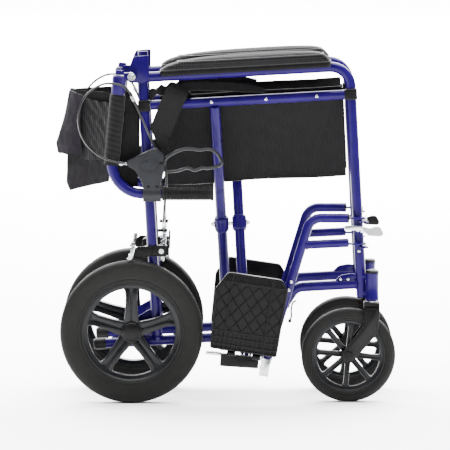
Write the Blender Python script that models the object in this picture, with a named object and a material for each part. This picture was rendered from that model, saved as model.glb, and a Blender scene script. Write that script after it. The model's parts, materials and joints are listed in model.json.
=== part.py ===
"""Folding transport wheelchair, stored: frame closed, back folded down, footrests swung back.

Metres, +Z up, +X to the chair's front, the chair's right side at -Y. The origin is under the
middle of the chair, on the floor. Every right-hand piece is mirrored to the left.
"""
import bmesh
import bpy
from math import asin, ceil, cos, pi, radians, sin, sqrt, tan
from mathutils import Matrix, Vector

# Driving dimensions
TILT = radians(3.2)         # posts lean back and rails rise to the front by this much
GAP = 0.0003                # clearance between touching pieces
TUBE = 0.011                # radius of posts, canes and cross tubes
RAIL = 0.0105               # radius of arm, seat and lower rails

PLANE_Y = 0.088             # side frame, from the middle plane
CASTER_Y = 0.1015           # clear of each other when both casters trail to one side
WHEEL_Y = 0.118
CANE_Y = 0.118
HANGER_Y = 0.111
PLATE_Y = 0.145

REAR_POST = -0.1358         # along the rails
FRONT_POST = 0.3055
POST_TOP = 0.747            # along the posts
ARM_RAIL = 0.7024
SEAT_RAIL = 0.642
LOWER_FRONT = 0.235
LOWER_REAR = 0.137
LEVER_END = -0.2685         # rear end of the tipping lever
ARM_BEND = 0.043
LOWER_BEND = 0.030

REAR_AXLE = Vector((-0.1987, 0.0, 0.1525))
REAR_RADIUS = REAR_AXLE.z
FRONT_AXLE = Vector((0.2648, 0.0, 0.1005))
FRONT_RADIUS = FRONT_AXLE.z
STEM_X = 0.315
HOUSING = (0.217, 0.283)    # bottom and top of the caster housing
HOUSING_RADIUS = 0.0145
STEM_RADIUS = 0.006
CROWN_TOP = 0.2145

PIVOT_V = 0.100             # lower pivots of the cross tubes, along the posts
BRACE_A_U = 0.0525          # cross tube hinged to the right frame
BRACE_B_U = 0.0145          # cross tube hinged to the left frame
COLLAR = 0.0155
BOLT = 0.004

BACK_PIVOT = Vector((-0.1975, 0.0, 0.6976))
CANE_TOP = Vector((-0.2228, 0.0, 0.6986))
CANE_CORNER = Vector((-0.2462, 0.0, 0.448))
GRIP = (-0.133, -0.023)     # along the handle
GRIP_RADIUS = 0.015
CANE_BEND = 0.066
SOCKET_RADIUS = 0.0148      # of the sleeve at the folding hinge
LEVER_PIVOT = Vector((-0.1285, 0.0, 0.513))
BACK_TURN = radians(41)     # folded back cloth, from straight rearward

HANGER_PIVOT_X = 0.299      # at mid height of the hanger
HANGER_TOP = 0.395
HANGER_BRACE = 0.340
HANGER_TUBE = 0.010
KNEE = Vector((0.183, 0.0, 0.395))
ANKLE = Vector((0.0835, 0.0, 0.068))
LATCH_PIVOT = Vector((0.2853, 0.0, 0.374))
PLATE_SLOPE = radians(8.5)
PLATE_HINGE = Vector((0.0397, 0.0, 0.1005))

BRAKE_PIVOT = Vector((-0.162, 0.0, 0.324))
CABLE = 0.0025

FOLDED_HEIGHT = SEAT_RAIL - PIVOT_V
FOLDED_WIDTH = 2 * PLANE_Y
BRACE_LENGTH = sqrt(FOLDED_HEIGHT ** 2 + FOLDED_WIDTH ** 2)
BRACE_LEAN = asin(FOLDED_WIDTH / BRACE_LENGTH)
SLING_HANG = radians(18.5)    # folded seat cloth, from straight down
SLING_WIDTH = 0.191

RIGHT = -1
LEFT = 1


def at(u, v, y=0.0):
    """A point of the tilted side frame: u along its rails, v along its posts."""
    return Vector((u * cos(TILT) - v * sin(TILT), y, u * sin(TILT) + v * cos(TILT)))


ALONG_RAIL = at(1, 0)


# Building blocks
def scene_copy(thing, helper=None):
    """The evaluated mesh of an object, after which the object and its helper go."""
    objects = [thing] + ([helper] if helper else [])
    for each in objects:
        bpy.context.scene.collection.objects.link(each)
    graph = bpy.context.evaluated_depsgraph_get()
    mesh = bpy.data.meshes.new_from_object(thing.evaluated_get(graph))
    for each in objects:
        bpy.data.objects.remove(each)
    return mesh


def cleaned(shape):
    bmesh.ops.remove_doubles(shape, verts=shape.verts, dist=0.00001)
    bmesh.ops.recalc_face_normals(shape, faces=shape.faces)
    mesh = bpy.data.meshes.new("piece")
    shape.to_mesh(mesh)
    shape.free()
    return mesh


def bent(corners, bend, step=radians(20)):
    """The corners' path with each corner rounded to the bend radius."""
    path = [corners[0]]
    for before, corner, after in zip(corners, corners[1:], corners[2:]):
        back = (before - corner).normalized()
        ahead = (after - corner).normalized()
        turn = pi - back.angle(ahead)
        centre = corner + (back + ahead).normalized() * bend / cos(turn / 2)
        spoke = corner + back * bend * tan(turn / 2) - centre
        axis = spoke.cross(corner + ahead * bend * tan(turn / 2) - centre).normalized()
        count = ceil(turn / step)
        path += [centre + Matrix.Rotation(turn * i / count, 3, axis) @ spoke
                 for i in range(count + 1)]
    return path + [corners[-1]]


def tube(path, radius, sides=10):
    curve = bpy.data.curves.new("tube", "CURVE")
    curve.dimensions = "3D"
    curve.bevel_depth = radius
    curve.bevel_resolution = sides // 2 - 2
    curve.use_fill_caps = True
    spline = curve.splines.new("POLY")
    spline.points.add(len(path) - 1)
    for point, place in zip(spline.points, path):
        point.co = (*place, 1.0)
    shape = bmesh.new()
    shape.from_mesh(scene_copy(bpy.data.objects.new("tube", curve)))
    return cleaned(shape)


def rod(start, end, radius, sides=12):
    """A round bar, with one of its flats facing down where it lies level."""
    shape = bmesh.new()
    along = end - start
    turn = along.to_track_quat("Z", "Y").to_matrix().to_4x4()
    flat = Matrix.Rotation(pi / sides, 4, "Z")
    bmesh.ops.create_cone(shape, cap_ends=True, segments=sides, radius1=radius, radius2=radius,
                          depth=along.length,
                          matrix=Matrix.Translation((start + end) / 2) @ turn @ flat)
    return cleaned(shape)


def plate(outline, near, far, place):
    """An outline given thickness; place turns (a, b, depth) into a point."""
    shape = bmesh.new()
    face = shape.faces.new([shape.verts.new(place(a, b, near)) for a, b in outline])
    grown = bmesh.ops.extrude_face_region(shape, geom=[face])["geom"]
    push = place(0, 0, far) - place(0, 0, near)
    bmesh.ops.translate(shape, vec=push, verts=[v for v in grown if isinstance(v, bmesh.types.BMVert)])
    return cleaned(shape)


def box(a, b, depth, place):
    return plate([(a[0], b[0]), (a[1], b[0]), (a[1], b[1]), (a[0], b[1])], depth[0], depth[1], place)


def side_view(a, b, depth):
    return Vector((a, depth, b))


def join(first, second, operation="UNION"):
    target = bpy.data.objects.new("target", first)
    tool = bpy.data.objects.new("tool", second)
    modifier = target.modifiers.new("Join", "BOOLEAN")
    modifier.operation = operation
    modifier.object = tool
    shape = bmesh.new()
    shape.from_mesh(scene_copy(target, tool))
    return cleaned(shape)


def cut(first, second):
    return join(first, second, "DIFFERENCE")


def ring(profile, centre, segments):
    """A closed (radius, side) profile turned about the wheel's axle, a flat at the bottom."""
    shape = bmesh.new()
    widen = 1 / cos(pi / segments)
    turn = Matrix.Rotation(pi / segments, 3, "Y")
    verts = [shape.verts.new(centre + turn @ Vector((0, side, -radius * widen)))
             for radius, side in profile]
    edges = [shape.edges.new(pair) for pair in zip(verts, verts[1:] + verts[:1])]
    bmesh.ops.spin(shape, geom=verts + edges, cent=centre, axis=(0, 1, 0), angle=2 * pi,
                   steps=segments, use_merge=True)
    return cleaned(shape)


def mirrored(mesh):
    shape = bmesh.new()
    shape.from_mesh(mesh)
    bmesh.ops.transform(shape, matrix=Matrix.Scale(-1, 4, (0, 1, 0)), verts=shape.verts)
    return cleaned(shape)


# Finishes
def finish(name, colour, roughness, metallic=0.0):
    material = bpy.data.materials.new(name)
    material.use_nodes = True
    shader = material.node_tree.nodes["Principled BSDF"]
    channels = [int(colour[i:i + 2], 16) / 255 for i in (1, 3, 5)]
    linear = [c / 12.92 if c <= 0.04045 else ((c + 0.055) / 1.055) ** 2.4 for c in channels]
    shader.inputs["Base Color"].default_value = (*linear, 1.0)
    shader.inputs["Roughness"].default_value = roughness
    shader.inputs["Metallic"].default_value = metallic
    return material


FINISHES = {
    "enamel": ("#1c1a93", 0.25, 0.3),
    "rubber": ("#2f2e2c", 0.8),
    "rim_plastic": ("#2b2f33", 0.45),
    "black_plastic": ("#1d1d1f", 0.5),
    "slate_plastic": ("#45474b", 0.55),
    "cloth": ("#26262a", 0.9),
    "chrome": ("#c4c6c8", 0.2, 1.0),
}


# The side frames
def arm_tube():
    corners = [at(REAR_POST + TUBE + GAP, ARM_RAIL), at(FRONT_POST, ARM_RAIL), at(FRONT_POST, 0.205)]
    return tube(bent(shifted(corners, PLANE_Y), ARM_BEND), TUBE)


def shifted(points, y):
    return [Vector((p.x, -y, p.z)) for p in points]


def rear_post():
    post = rod(at(REAR_POST, LOWER_REAR + RAIL + 2 * GAP, -PLANE_Y),
               at(REAR_POST, POST_TOP, -PLANE_Y), TUBE, 10)
    foot = LOWER_REAR + RAIL + 4 * GAP
    outline = [(-0.206, foot), (REAR_POST, foot), (REAR_POST, 0.205), (-0.150, 0.205),
               (-0.195, 0.181), (-0.206, 0.171)]
    web = plate(outline, -PLANE_Y - 0.003, -PLANE_Y + 0.003, at)
    hole = rod(REAR_AXLE + Vector((0, -PLANE_Y - 0.02, 0)), REAR_AXLE + Vector((0, -PLANE_Y + 0.02, 0)),
               STEM_RADIUS + GAP)
    return cut(join(post, web), hole)


def lower_rail(brace_u):
    corners = [at(FRONT_POST - TUBE - GAP, LOWER_FRONT), at(0.165, LOWER_FRONT), at(0.095, LOWER_REAR),
               at(LEVER_END, LOWER_REAR)]
    rail = tube(bent(shifted(corners, PLANE_Y), LOWER_BEND), RAIL)
    for side in (-1, 1):
        inner = brace_u + side * 0.0055
        cheek = [(inner, PIVOT_V - 0.010), (inner + side * 0.004, PIVOT_V - 0.010),
                 (inner + side * 0.004, LOWER_REAR), (inner, LOWER_REAR)]
        rail = join(rail, plate(cheek, -PLANE_Y - 0.008, -PLANE_Y + 0.008, at))
    return rail


def hinge_bracket():
    outline = [(-0.193, 0.739), (-0.163, 0.742), (-0.161, 0.690), (-0.172, 0.682), (-0.205, 0.684),
               (-0.208, 0.700)]
    return plate(outline, -PLANE_Y - TUBE - GAP, -CANE_Y + SOCKET_RADIUS + 2 * GAP, side_view)


def caster_housing():
    low = Vector((STEM_X, -CASTER_Y, HOUSING[0]))
    high = Vector((STEM_X, -CASTER_Y, HOUSING[1]))
    bore = rod(low - Vector((0, 0, 0.01)), high - Vector((0, 0, 0.018)), STEM_RADIUS + 2 * GAP)
    return cut(rod(low, high, HOUSING_RADIUS, 16), bore)


def arm_pad():
    body = box((-0.098, 0.266), (0.7045, 0.742), (-PLANE_Y - 0.0325, -PLANE_Y + 0.0325), at)
    shape = bmesh.new()
    shape.from_mesh(body)
    bmesh.ops.bevel(shape, geom=list(shape.edges), offset=0.009, segments=2, profile=0.5, affect="EDGES",
                    material=-1)
    channel = rod(at(-0.12, ARM_RAIL, -PLANE_Y), at(0.30, ARM_RAIL, -PLANE_Y), TUBE + 3 * GAP)
    return cut(cleaned(shape), channel)


# Wheels
def tyre(axle, side_y, radius, bead, half, segments):
    profile = [(radius, -0.4 * half), (radius, 0.4 * half), (radius - 0.4 * half, 0.88 * half),
               (bead + 0.55 * half, half), (bead, 0.7 * half), (bead, -0.7 * half),
               (bead + 0.55 * half, -half), (radius - 0.4 * half, -0.88 * half)]
    return ring(profile, axle + Vector((0, -side_y, 0)), segments)


def rim(axle, side_y, sizes, spokes, first, segments):
    """A one-piece wheel: sizes are outer, ring, hub and bore radii, half spoke and half width."""
    outer, inner, hub, bore, half_spoke, half = sizes
    centre = axle + Vector((0, -side_y, 0))
    wheel = ring([(outer, -half), (outer, half), (bore, half), (bore, -half)], centre, segments)
    pitch = 2 * pi / spokes
    for i in range(spokes):
        start = first + i * pitch
        wide, narrow = asin(half_spoke / inner), asin(half_spoke / hub)
        angles = [(inner, start + wide + (pitch - 2 * wide) * k / 4) for k in range(5)]
        angles += [(hub, start + pitch - narrow), (hub, start + narrow)]
        outline = [(centre.x + r * cos(a), centre.z + r * sin(a)) for r, a in angles]
        wheel = cut(wheel, plate(outline, centre.y - 0.03, centre.y + 0.03, side_view))
    return wheel


def rear_axle():
    return rod(REAR_AXLE - Vector((0, WHEEL_Y + 0.019, 0)), REAR_AXLE - Vector((0, PLANE_Y - 0.008, 0)),
               STEM_RADIUS)


def front_axle():
    return rod(FRONT_AXLE - Vector((0, CASTER_Y + 0.0245, 0)),
               FRONT_AXLE - Vector((0, CASTER_Y - 0.0245, 0)), BOLT)


def fork():
    """Crown and two legs from one folded outline, with the swivel stem on top."""
    foot = [(FRONT_AXLE.x + 0.015 * cos(a), FRONT_AXLE.z + 0.015 * sin(a))
            for a in (radians(d) for d in (-50, -90, -140, 170, 130))]
    outline = [(0.297, CROWN_TOP), (0.331, CROWN_TOP), (0.331, 0.190), (0.326, 0.150)] + foot + [
        (0.297, 0.166)]
    body = plate(outline, -CASTER_Y - 0.0235, -CASTER_Y + 0.0235, side_view)
    slot = box((0.2, 0.4), (0.0, CROWN_TOP - 0.0105), (-CASTER_Y - 0.0175, -CASTER_Y + 0.0175), side_view)
    hole = rod(FRONT_AXLE - Vector((0, CASTER_Y + 0.03, 0)), FRONT_AXLE - Vector((0, CASTER_Y - 0.03, 0)),
               BOLT + GAP)
    stem = rod(Vector((STEM_X, -CASTER_Y, CROWN_TOP - 0.003)), Vector((STEM_X, -CASTER_Y, 0.262)),
               STEM_RADIUS)
    return join(cut(cut(body, slot), hole), stem)


# Folding back
def cane():
    end = Vector((GRIP[0] - GAP, 0, CANE_CORNER.z))
    pipe = tube(bent(shifted([CANE_TOP, CANE_CORNER, end], CANE_Y), CANE_BEND), TUBE)
    down = (CANE_CORNER - CANE_TOP).normalized()
    socket_top = Vector((CANE_TOP.x, -CANE_Y, CANE_TOP.z)) - down * 0.002
    socket = rod(socket_top, socket_top + down * 0.038, SOCKET_RADIUS)
    lug = box((CANE_TOP.x, BACK_PIVOT.x + 0.009), (0.688, 0.7065),
              (-CANE_Y - 0.005, -CANE_Y + SOCKET_RADIUS - GAP), side_view)
    return join(join(pipe, socket), lug)


def hand_grip():
    return rod(Vector((GRIP[0], -CANE_Y, CANE_CORNER.z)), Vector((GRIP[1], -CANE_Y, CANE_CORNER.z)),
               GRIP_RADIUS, 14)


def brake_bracket():
    outline = [(-0.2100, 0.5176), (-0.1482, 0.5474), (-0.1291, 0.5325), (-0.1272, 0.4963),
               (-0.1350, 0.4740), (-0.1350, 0.4345), (-0.1738, 0.4324), (-0.1738, 0.4650),
               (-0.1887, 0.4963), (-0.2079, 0.5091)]
    body = plate(outline, -CANE_Y - 0.015, -CANE_Y + 0.015, side_view)
    bore = rod(Vector((-0.2, -CANE_Y, CANE_CORNER.z)), Vector((-0.1, -CANE_Y, CANE_CORNER.z)),
               TUBE + 2 * GAP)
    return cut(body, bore)


def brake_lever():
    """A closed loop for the fingers."""
    outer = [(-0.1245, 0.5304), (-0.0886, 0.5440), (-0.0311, 0.5440), (-0.0119, 0.5345),
             (-0.0040, 0.5190), (-0.0119, 0.5040), (-0.0886, 0.4955), (-0.1184, 0.4965)]
    inner = [(-0.1140, 0.5235), (-0.0880, 0.5350), (-0.0330, 0.5350), (-0.0185, 0.5280),
             (-0.0140, 0.5190), (-0.0185, 0.5122), (-0.0880, 0.5040), (-0.1120, 0.5055)]
    body = plate(outer, -CANE_Y - 0.006, -CANE_Y + 0.006, side_view)
    return cut(body, plate(inner, -CANE_Y - 0.02, -CANE_Y + 0.02, side_view))


def back_half():
    """Folded cloth of the back, hung from the cane and led rearward and inward."""
    down = (CANE_CORNER - CANE_TOP).normalized()
    spread = Vector((-cos(BACK_TURN), sin(BACK_TURN), 0))
    across = down.cross(spread).normalized()
    root = Vector((CANE_TOP.x, -CANE_Y, CANE_TOP.z))

    def hung(a, b, depth):
        return root + spread * a + down * b + across * depth
    outline = [(0.016, 0.060), (0.096, 0.058), (0.108, 0.040), (0.136, 0.033), (0.144, 0.092),
               (0.162, 0.152), (0.155, 0.172), (0.133, 0.178), (0.127, 0.236), (0.112, 0.252),
               (0.016, 0.226)]
    return plate(outline, -0.008, 0.008, hung)


# Cross brace and seat
def brace_point(length, u, lean):
    """A point of a cross tube, measured from its lower pivot; lean is +1 towards the left."""
    height = PIVOT_V + length * cos(BRACE_LEAN)
    return at(u, height, lean * (length * sin(BRACE_LEAN) - PLANE_Y))


def cross_tube(u, lean):
    pipe = rod(brace_point(0.062, u, lean), brace_point(BRACE_LENGTH - RAIL - 2 * GAP, u, lean), TUBE, 10)
    middle = BRACE_LENGTH / 2
    collar = rod(brace_point(middle - 0.017, u, lean), brace_point(middle + 0.017, u, lean), COLLAR)
    inward = at(0, -sin(BRACE_LEAN), lean * cos(BRACE_LEAN))
    upward = at(0, cos(BRACE_LEAN), lean * sin(BRACE_LEAN))
    foot = brace_point(0, u, lean)

    def cranked(a, b, depth):
        return foot + upward * a + inward * b + ALONG_RAIL * depth
    outline = [(-0.009, -0.006), (-0.006, -0.009), (0.010, -0.009), (0.021, 0.0038), (0.050, 0.0038),
               (0.062, -0.007), (0.084, -0.007), (0.084, 0.009), (0.060, 0.014), (0.012, 0.015),
               (-0.006, 0.009)]
    link = plate(outline, -0.005, 0.005, cranked)
    bore = rod(brace_point(middle, u, lean) - ALONG_RAIL * 0.03,
               brace_point(middle, u, lean) + ALONG_RAIL * 0.03, BOLT + GAP)
    return cut(join(join(pipe, collar), link), bore)


def seat_rail():
    return rod(at(REAR_POST + 0.0133, SEAT_RAIL, -PLANE_Y), at(FRONT_POST - 0.0133, SEAT_RAIL, -PLANE_Y),
               RAIL)


def rail_clip(post):
    block = box((post - 0.013, post + 0.013), (SEAT_RAIL - 0.012, SEAT_RAIL + 0.012),
                (-PLANE_Y - 0.0145, -PLANE_Y + 0.0145), at)
    bore = rod(at(post, SEAT_RAIL - 0.03, -PLANE_Y), at(post, SEAT_RAIL + 0.03, -PLANE_Y), TUBE + 2 * GAP)
    return cut(block, bore)


def sling_half():
    def hung(a, b, depth):
        height = SEAT_RAIL - b * cos(SLING_HANG) + depth * sin(SLING_HANG)
        return at(a, height, -PLANE_Y + b * sin(SLING_HANG) + depth * cos(SLING_HANG))
    inner = TUBE + 2 * GAP
    return box((-0.100, 0.288), (0.0, SLING_WIDTH), (inner, inner + 0.004), hung)


def seat_belt():
    outline = [(-0.150, 0.618), (-0.108, 0.620), (-0.104, 0.556), (-0.126, 0.537), (-0.149, 0.548)]
    return plate(outline, -PLANE_Y - 0.0070, -PLANE_Y - 0.0040, side_view)


# Footrests
def hanger():
    start = Vector((0.266, 0, HANGER_TOP))
    main = tube(bent(shifted([start, KNEE, ANKLE], HANGER_Y), 0.030), HANGER_TUBE)
    slope = (ANKLE - KNEE).normalized()
    brace_end = KNEE + slope * ((KNEE.z - HANGER_BRACE) / -slope.z)
    lower = rod(Vector((0.266, -HANGER_Y, HANGER_BRACE)), Vector((brace_end.x, -HANGER_Y, HANGER_BRACE)),
                0.0085, 10)
    body = join(main, lower)
    for height in (HANGER_BRACE, HANGER_TOP):
        tab = box((0.255, 0.304), (height - 0.002, height + 0.002), (-HANGER_Y - 0.007, -HANGER_Y + 0.006),
                  side_view)
        body = join(body, tab)
    bar = box((-0.012, ANKLE.x + 0.004), (0.080, 0.0935), (-PLATE_Y + 0.010, -HANGER_Y + 0.004), side_view)
    return join(body, bar)


def footplate():
    """Flipped up, its underside outward."""
    forward = Vector((cos(PLATE_SLOPE), 0, -sin(PLATE_SLOPE)))
    upward = Vector((sin(PLATE_SLOPE), 0, cos(PLATE_SLOPE)))
    hinge = PLATE_HINGE + Vector((0, -PLATE_Y, 0))

    def flipped(a, b, depth):
        return hinge + forward * a + upward * b + Vector((0, depth, 0))
    outline = [(-0.074, 0.010), (0.070, 0.010), (0.073, 0.157), (0.057, 0.177), (-0.058, 0.177),
               (-0.081, 0.138)]
    leaf = plate(outline, -0.007, 0.007, flipped)
    shape = bmesh.new()
    shape.from_mesh(leaf)
    bmesh.ops.bevel(shape, geom=list(shape.edges), offset=0.002, segments=1, profile=0.5, affect="EDGES",
                    material=-1)
    knuckle = box((-0.030, 0.030), (-0.004, 0.014), (-0.006, 0.004), flipped)
    return join(cleaned(shape), knuckle)


def latch_lever():
    """Turns on a stud on the front post; its paddle points forward."""
    outline = [(0.2554, 0.369), (0.292, 0.369), (0.300, 0.358), (0.335, 0.358), (0.3374, 0.366),
               (0.330, 0.378), (0.292, 0.379), (0.2554, 0.379)]
    lever = plate(outline, -HANGER_Y - 0.004, -HANGER_Y + 0.001, side_view)
    hub = rod(LATCH_PIVOT - Vector((0, HANGER_Y, 0)), LATCH_PIVOT - Vector((0, PLANE_Y + TUBE + GAP, 0)),
              0.0045)
    return join(lever, hub)


# Wheel brakes
def brake_clamp():
    block = box((-0.178, -0.122), (0.313, 0.334), (-PLANE_Y - 0.0145, -PLANE_Y + 0.0145), side_view)
    bore = rod(at(REAR_POST, 0.30, -PLANE_Y), at(REAR_POST, 0.36, -PLANE_Y), TUBE + 2 * GAP)
    return cut(block, bore)


def brake_shoe():
    inner = -PLANE_Y - 0.0145 - 2 * GAP
    arm = plate([(-0.155, 0.318), (-0.155, 0.330), (-0.190, 0.327), (-0.206, 0.316), (-0.204, 0.309),
                 (-0.194, 0.309)], inner, inner - 0.004, side_view)
    bar = rod(Vector((-0.200, inner, 0.3145)), Vector((-0.200, -WHEEL_Y - 0.018, 0.3145)), 0.006)
    return join(arm, bar)


CABLE_ROUTE = [
    (-0.2118, -0.128, 0.5145), (-0.227, -0.1325, 0.516), (-0.2505, -0.135, 0.523), (-0.271, -0.136, 0.534),
    (-0.290, -0.136, 0.552), (-0.304, -0.137, 0.575), (-0.310, -0.138, 0.603), (-0.307, -0.139, 0.632),
    (-0.295, -0.139, 0.657), (-0.276, -0.140, 0.674), (-0.255, -0.140, 0.6835), (-0.234, -0.139, 0.684),
    (-0.215, -0.136, 0.676), (-0.203, -0.132, 0.660), (-0.194, -0.128, 0.635), (-0.184, -0.122, 0.610),
    (-0.172, -0.116, 0.592), (-0.158, -0.111, 0.577), (-0.142, -0.107, 0.565), (-0.129, -0.1045, 0.553),
    (-0.1225, -0.104, 0.537), (-0.1215, -0.103, 0.515), (-0.1225, -0.0990, 0.490), (-0.125, -0.0965, 0.460),
    (-0.128, -0.0960, 0.425), (-0.130, -0.0955, 0.390), (-0.130, -0.0950, 0.362), (-0.130, -0.0950, 0.3345)]


def eased(route, parts):
    """A smooth curve through every route point, each stretch in equal parts."""
    points = [Vector(p) for p in route]
    ends = [points[0] * 2 - points[1]] + points + [points[-1] * 2 - points[-2]]
    path = []
    for a, b, c, d in zip(ends, ends[1:], ends[2:], ends[3:]):
        for k in range(parts):
            t = k / parts
            path.append(0.5 * (2 * b + (c - a) * t + (2 * a - 5 * b + 4 * c - d) * t ** 2
                               + (3 * b - a - 3 * c + d) * t ** 3))
    return path + [points[-1]]


def brake_cable():
    return tube(eased(CABLE_ROUTE, 2), CABLE, 8)


# Assembly
for existing in list(bpy.data.objects):
    bpy.data.objects.remove(existing)
MATERIALS = {name: finish(name, *look) for name, look in FINISHES.items()}


def pivot(name, place):
    empty = bpy.data.objects.new(name, None)
    empty.location = place
    bpy.context.scene.collection.objects.link(empty)
    return empty


def add(name, mesh, finish_name, centre=None):
    """Place a piece in the scene, hung from the empty on its joint's axis if it moves."""
    piece = bpy.data.objects.new(name, mesh)
    if centre:
        mesh.transform(Matrix.Translation(-centre.location))
        piece.parent = centre
    mesh.materials.clear()
    mesh.materials.append(MATERIALS[finish_name])
    mesh.shade_smooth()
    mesh.set_sharp_from_angle(angle=radians(35))
    bpy.context.scene.collection.objects.link(piece)


def add_pair(name, mesh, finish_name, centres=(None, None)):
    add("left_" + name, mirrored(mesh), finish_name, centres[1])
    add("right_" + name, mesh, finish_name, centres[0])


def pivots(name, place):
    """Empties on both sides' joint axes."""
    return [pivot(f"{word}_{name}", Vector((place.x, side * abs(place.y), place.z)))
            for word, side in (("right", RIGHT), ("left", LEFT))]


def build():
    add_pair("arm_tube", arm_tube(), "enamel")
    add_pair("rear_post", rear_post(), "enamel")
    add("right_lower_rail", lower_rail(BRACE_A_U), "enamel")
    add("left_lower_rail", mirrored(lower_rail(BRACE_B_U)), "enamel")
    add_pair("hinge_bracket", hinge_bracket(), "enamel")
    add_pair("caster_housing", caster_housing(), "enamel")
    add_pair("arm_pad", arm_pad(), "cloth")
    add_pair("brake_clamp", brake_clamp(), "black_plastic")

    rear_wheel = pivots("rear_wheel_axis", REAR_AXLE + Vector((0, WHEEL_Y, 0)))
    add_pair("rear_tyre", tyre(REAR_AXLE, WHEEL_Y, REAR_RADIUS, 0.1065, 0.0185, 36), "rubber", rear_wheel)
    rear_sizes = (0.1065 - GAP, 0.094, 0.030, STEM_RADIUS + GAP, 0.0135, 0.0125)
    add_pair("rear_rim", rim(REAR_AXLE, WHEEL_Y, rear_sizes, 5, pi / 2, 36), "rim_plastic", rear_wheel)
    add_pair("rear_axle", rear_axle(), "chrome")

    swivel = pivots("caster_axis", Vector((STEM_X, CASTER_Y, CROWN_TOP)))
    add_pair("fork", fork(), "black_plastic", swivel)
    add_pair("front_axle", front_axle(), "chrome", swivel)
    front_wheel = pivots("front_wheel_axis", FRONT_AXLE + Vector((0, CASTER_Y, 0)))
    add_pair("front_tyre", tyre(FRONT_AXLE, CASTER_Y, FRONT_RADIUS, 0.0790, 0.0160, 28), "rubber",
             front_wheel)
    front_sizes = (0.0790 - GAP, 0.068, 0.021, BOLT + GAP, 0.0055, 0.0110)
    add_pair("front_rim", rim(FRONT_AXLE, CASTER_Y, front_sizes, 8, radians(-5), 28), "rim_plastic",
             front_wheel)

    back = pivots("back_axis", BACK_PIVOT + Vector((0, CANE_Y, 0)))
    add_pair("cane", cane(), "enamel", back)
    add_pair("hand_grip", hand_grip(), "rubber", back)
    add_pair("brake_bracket", brake_bracket(), "slate_plastic", back)
    lever = pivots("lever_axis", LEVER_PIVOT + Vector((0, CANE_Y, 0)))
    add_pair("brake_lever", brake_lever(), "black_plastic", lever)
    cloth = pivots("back_cloth_axis", CANE_TOP + Vector((0, CANE_Y, 0)))
    add_pair("back_half", back_half(), "cloth", cloth)
    add_pair("brake_cable", brake_cable(), "rubber")

    brace_a = pivot("brace_a_axis", brace_point(0, BRACE_A_U, 1))
    brace_b = pivot("brace_b_axis", brace_point(BRACE_LENGTH / 2, BRACE_B_U, -1))
    add("cross_tube_a", cross_tube(BRACE_A_U, 1), "enamel", brace_a)
    add("cross_tube_b", cross_tube(BRACE_B_U, -1), "enamel", brace_b)
    add("pivot_bolt", rod(at(BRACE_B_U - 0.021, (SEAT_RAIL + PIVOT_V) / 2),
                          at(BRACE_A_U + 0.021, (SEAT_RAIL + PIVOT_V) / 2), BOLT), "chrome", brace_a)
    add_pair("seat_rail", seat_rail(), "enamel", (brace_b, brace_a))
    rail_axes = pivots("rail_axis", at(REAR_POST, SEAT_RAIL, PLANE_Y))
    add_pair("clip_rear", rail_clip(REAR_POST), "black_plastic", rail_axes)
    add_pair("clip_front", rail_clip(FRONT_POST), "black_plastic", rail_axes)
    add_pair("sling_half", sling_half(), "cloth", rail_axes)
    add("seat_belt", seat_belt(), "cloth", rail_axes[0])

    swing_height = (HANGER_TOP + HANGER_BRACE) / 2
    swing = pivots("hanger_axis", Vector((HANGER_PIVOT_X, HANGER_Y - 0.003, swing_height)))
    add_pair("hanger", hanger(), "enamel", swing)
    flip = pivots("footplate_axis", PLATE_HINGE + Vector((0, PLATE_Y - 0.006, 0)))
    add_pair("footplate", footplate(), "black_plastic", flip)
    latch = pivots("latch_axis", LATCH_PIVOT + Vector((0, HANGER_Y, 0)))
    add_pair("latch_lever", latch_lever(), "chrome", latch)

    shoe = pivots("shoe_axis", BRAKE_PIVOT + Vector((0, PLANE_Y + 0.016, 0)))
    add_pair("brake_shoe", brake_shoe(), "chrome", shoe)


build()
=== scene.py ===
"""Looks of a folding transport wheelchair, stored: enamelled tubes, wheels, cloth and fittings."""

import json
from math import asin, ceil, cos, pi, radians, sin, sqrt, tan

import bmesh
import bpy
from mathutils import Matrix, Vector, noise
from mathutils.bvhtree import BVHTree


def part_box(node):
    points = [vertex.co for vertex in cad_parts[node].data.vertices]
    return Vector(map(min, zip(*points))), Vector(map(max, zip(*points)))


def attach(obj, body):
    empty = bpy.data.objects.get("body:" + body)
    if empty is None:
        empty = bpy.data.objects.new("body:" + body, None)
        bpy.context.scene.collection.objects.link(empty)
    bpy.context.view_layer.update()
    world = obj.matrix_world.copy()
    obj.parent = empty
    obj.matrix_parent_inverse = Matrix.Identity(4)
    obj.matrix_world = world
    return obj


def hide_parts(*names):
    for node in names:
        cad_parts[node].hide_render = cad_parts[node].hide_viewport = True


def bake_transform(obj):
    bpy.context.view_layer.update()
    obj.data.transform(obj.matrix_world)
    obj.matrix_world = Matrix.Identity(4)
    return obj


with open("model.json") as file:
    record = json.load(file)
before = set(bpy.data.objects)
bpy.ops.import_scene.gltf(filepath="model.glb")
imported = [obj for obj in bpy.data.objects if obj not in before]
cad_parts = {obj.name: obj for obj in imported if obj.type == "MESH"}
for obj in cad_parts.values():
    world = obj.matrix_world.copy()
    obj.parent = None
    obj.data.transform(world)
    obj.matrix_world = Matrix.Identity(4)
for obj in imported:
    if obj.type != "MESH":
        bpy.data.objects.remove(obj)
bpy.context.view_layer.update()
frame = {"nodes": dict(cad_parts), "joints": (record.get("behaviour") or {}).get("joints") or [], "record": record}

# Driving dimensions, as in the solid model. Radii of the frame's tubes and its rails; planes out from the
# middle; then places in the tilted side frame, along its rails or up its posts.
TILT = radians(3.2)
TUBE, RAIL = 0.011, 0.0105
PLANE_Y, CASTER_Y, CANE_Y, HANGER_Y, PLATE_Y = 0.088, 0.1015, 0.118, 0.111, 0.145
REAR_POST, FRONT_POST, POST_TOP = -0.1358, 0.3055, 0.747
ARM_RAIL, SEAT_RAIL, LOWER_FRONT, LOWER_REAR = 0.7024, 0.642, 0.235, 0.137
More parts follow.
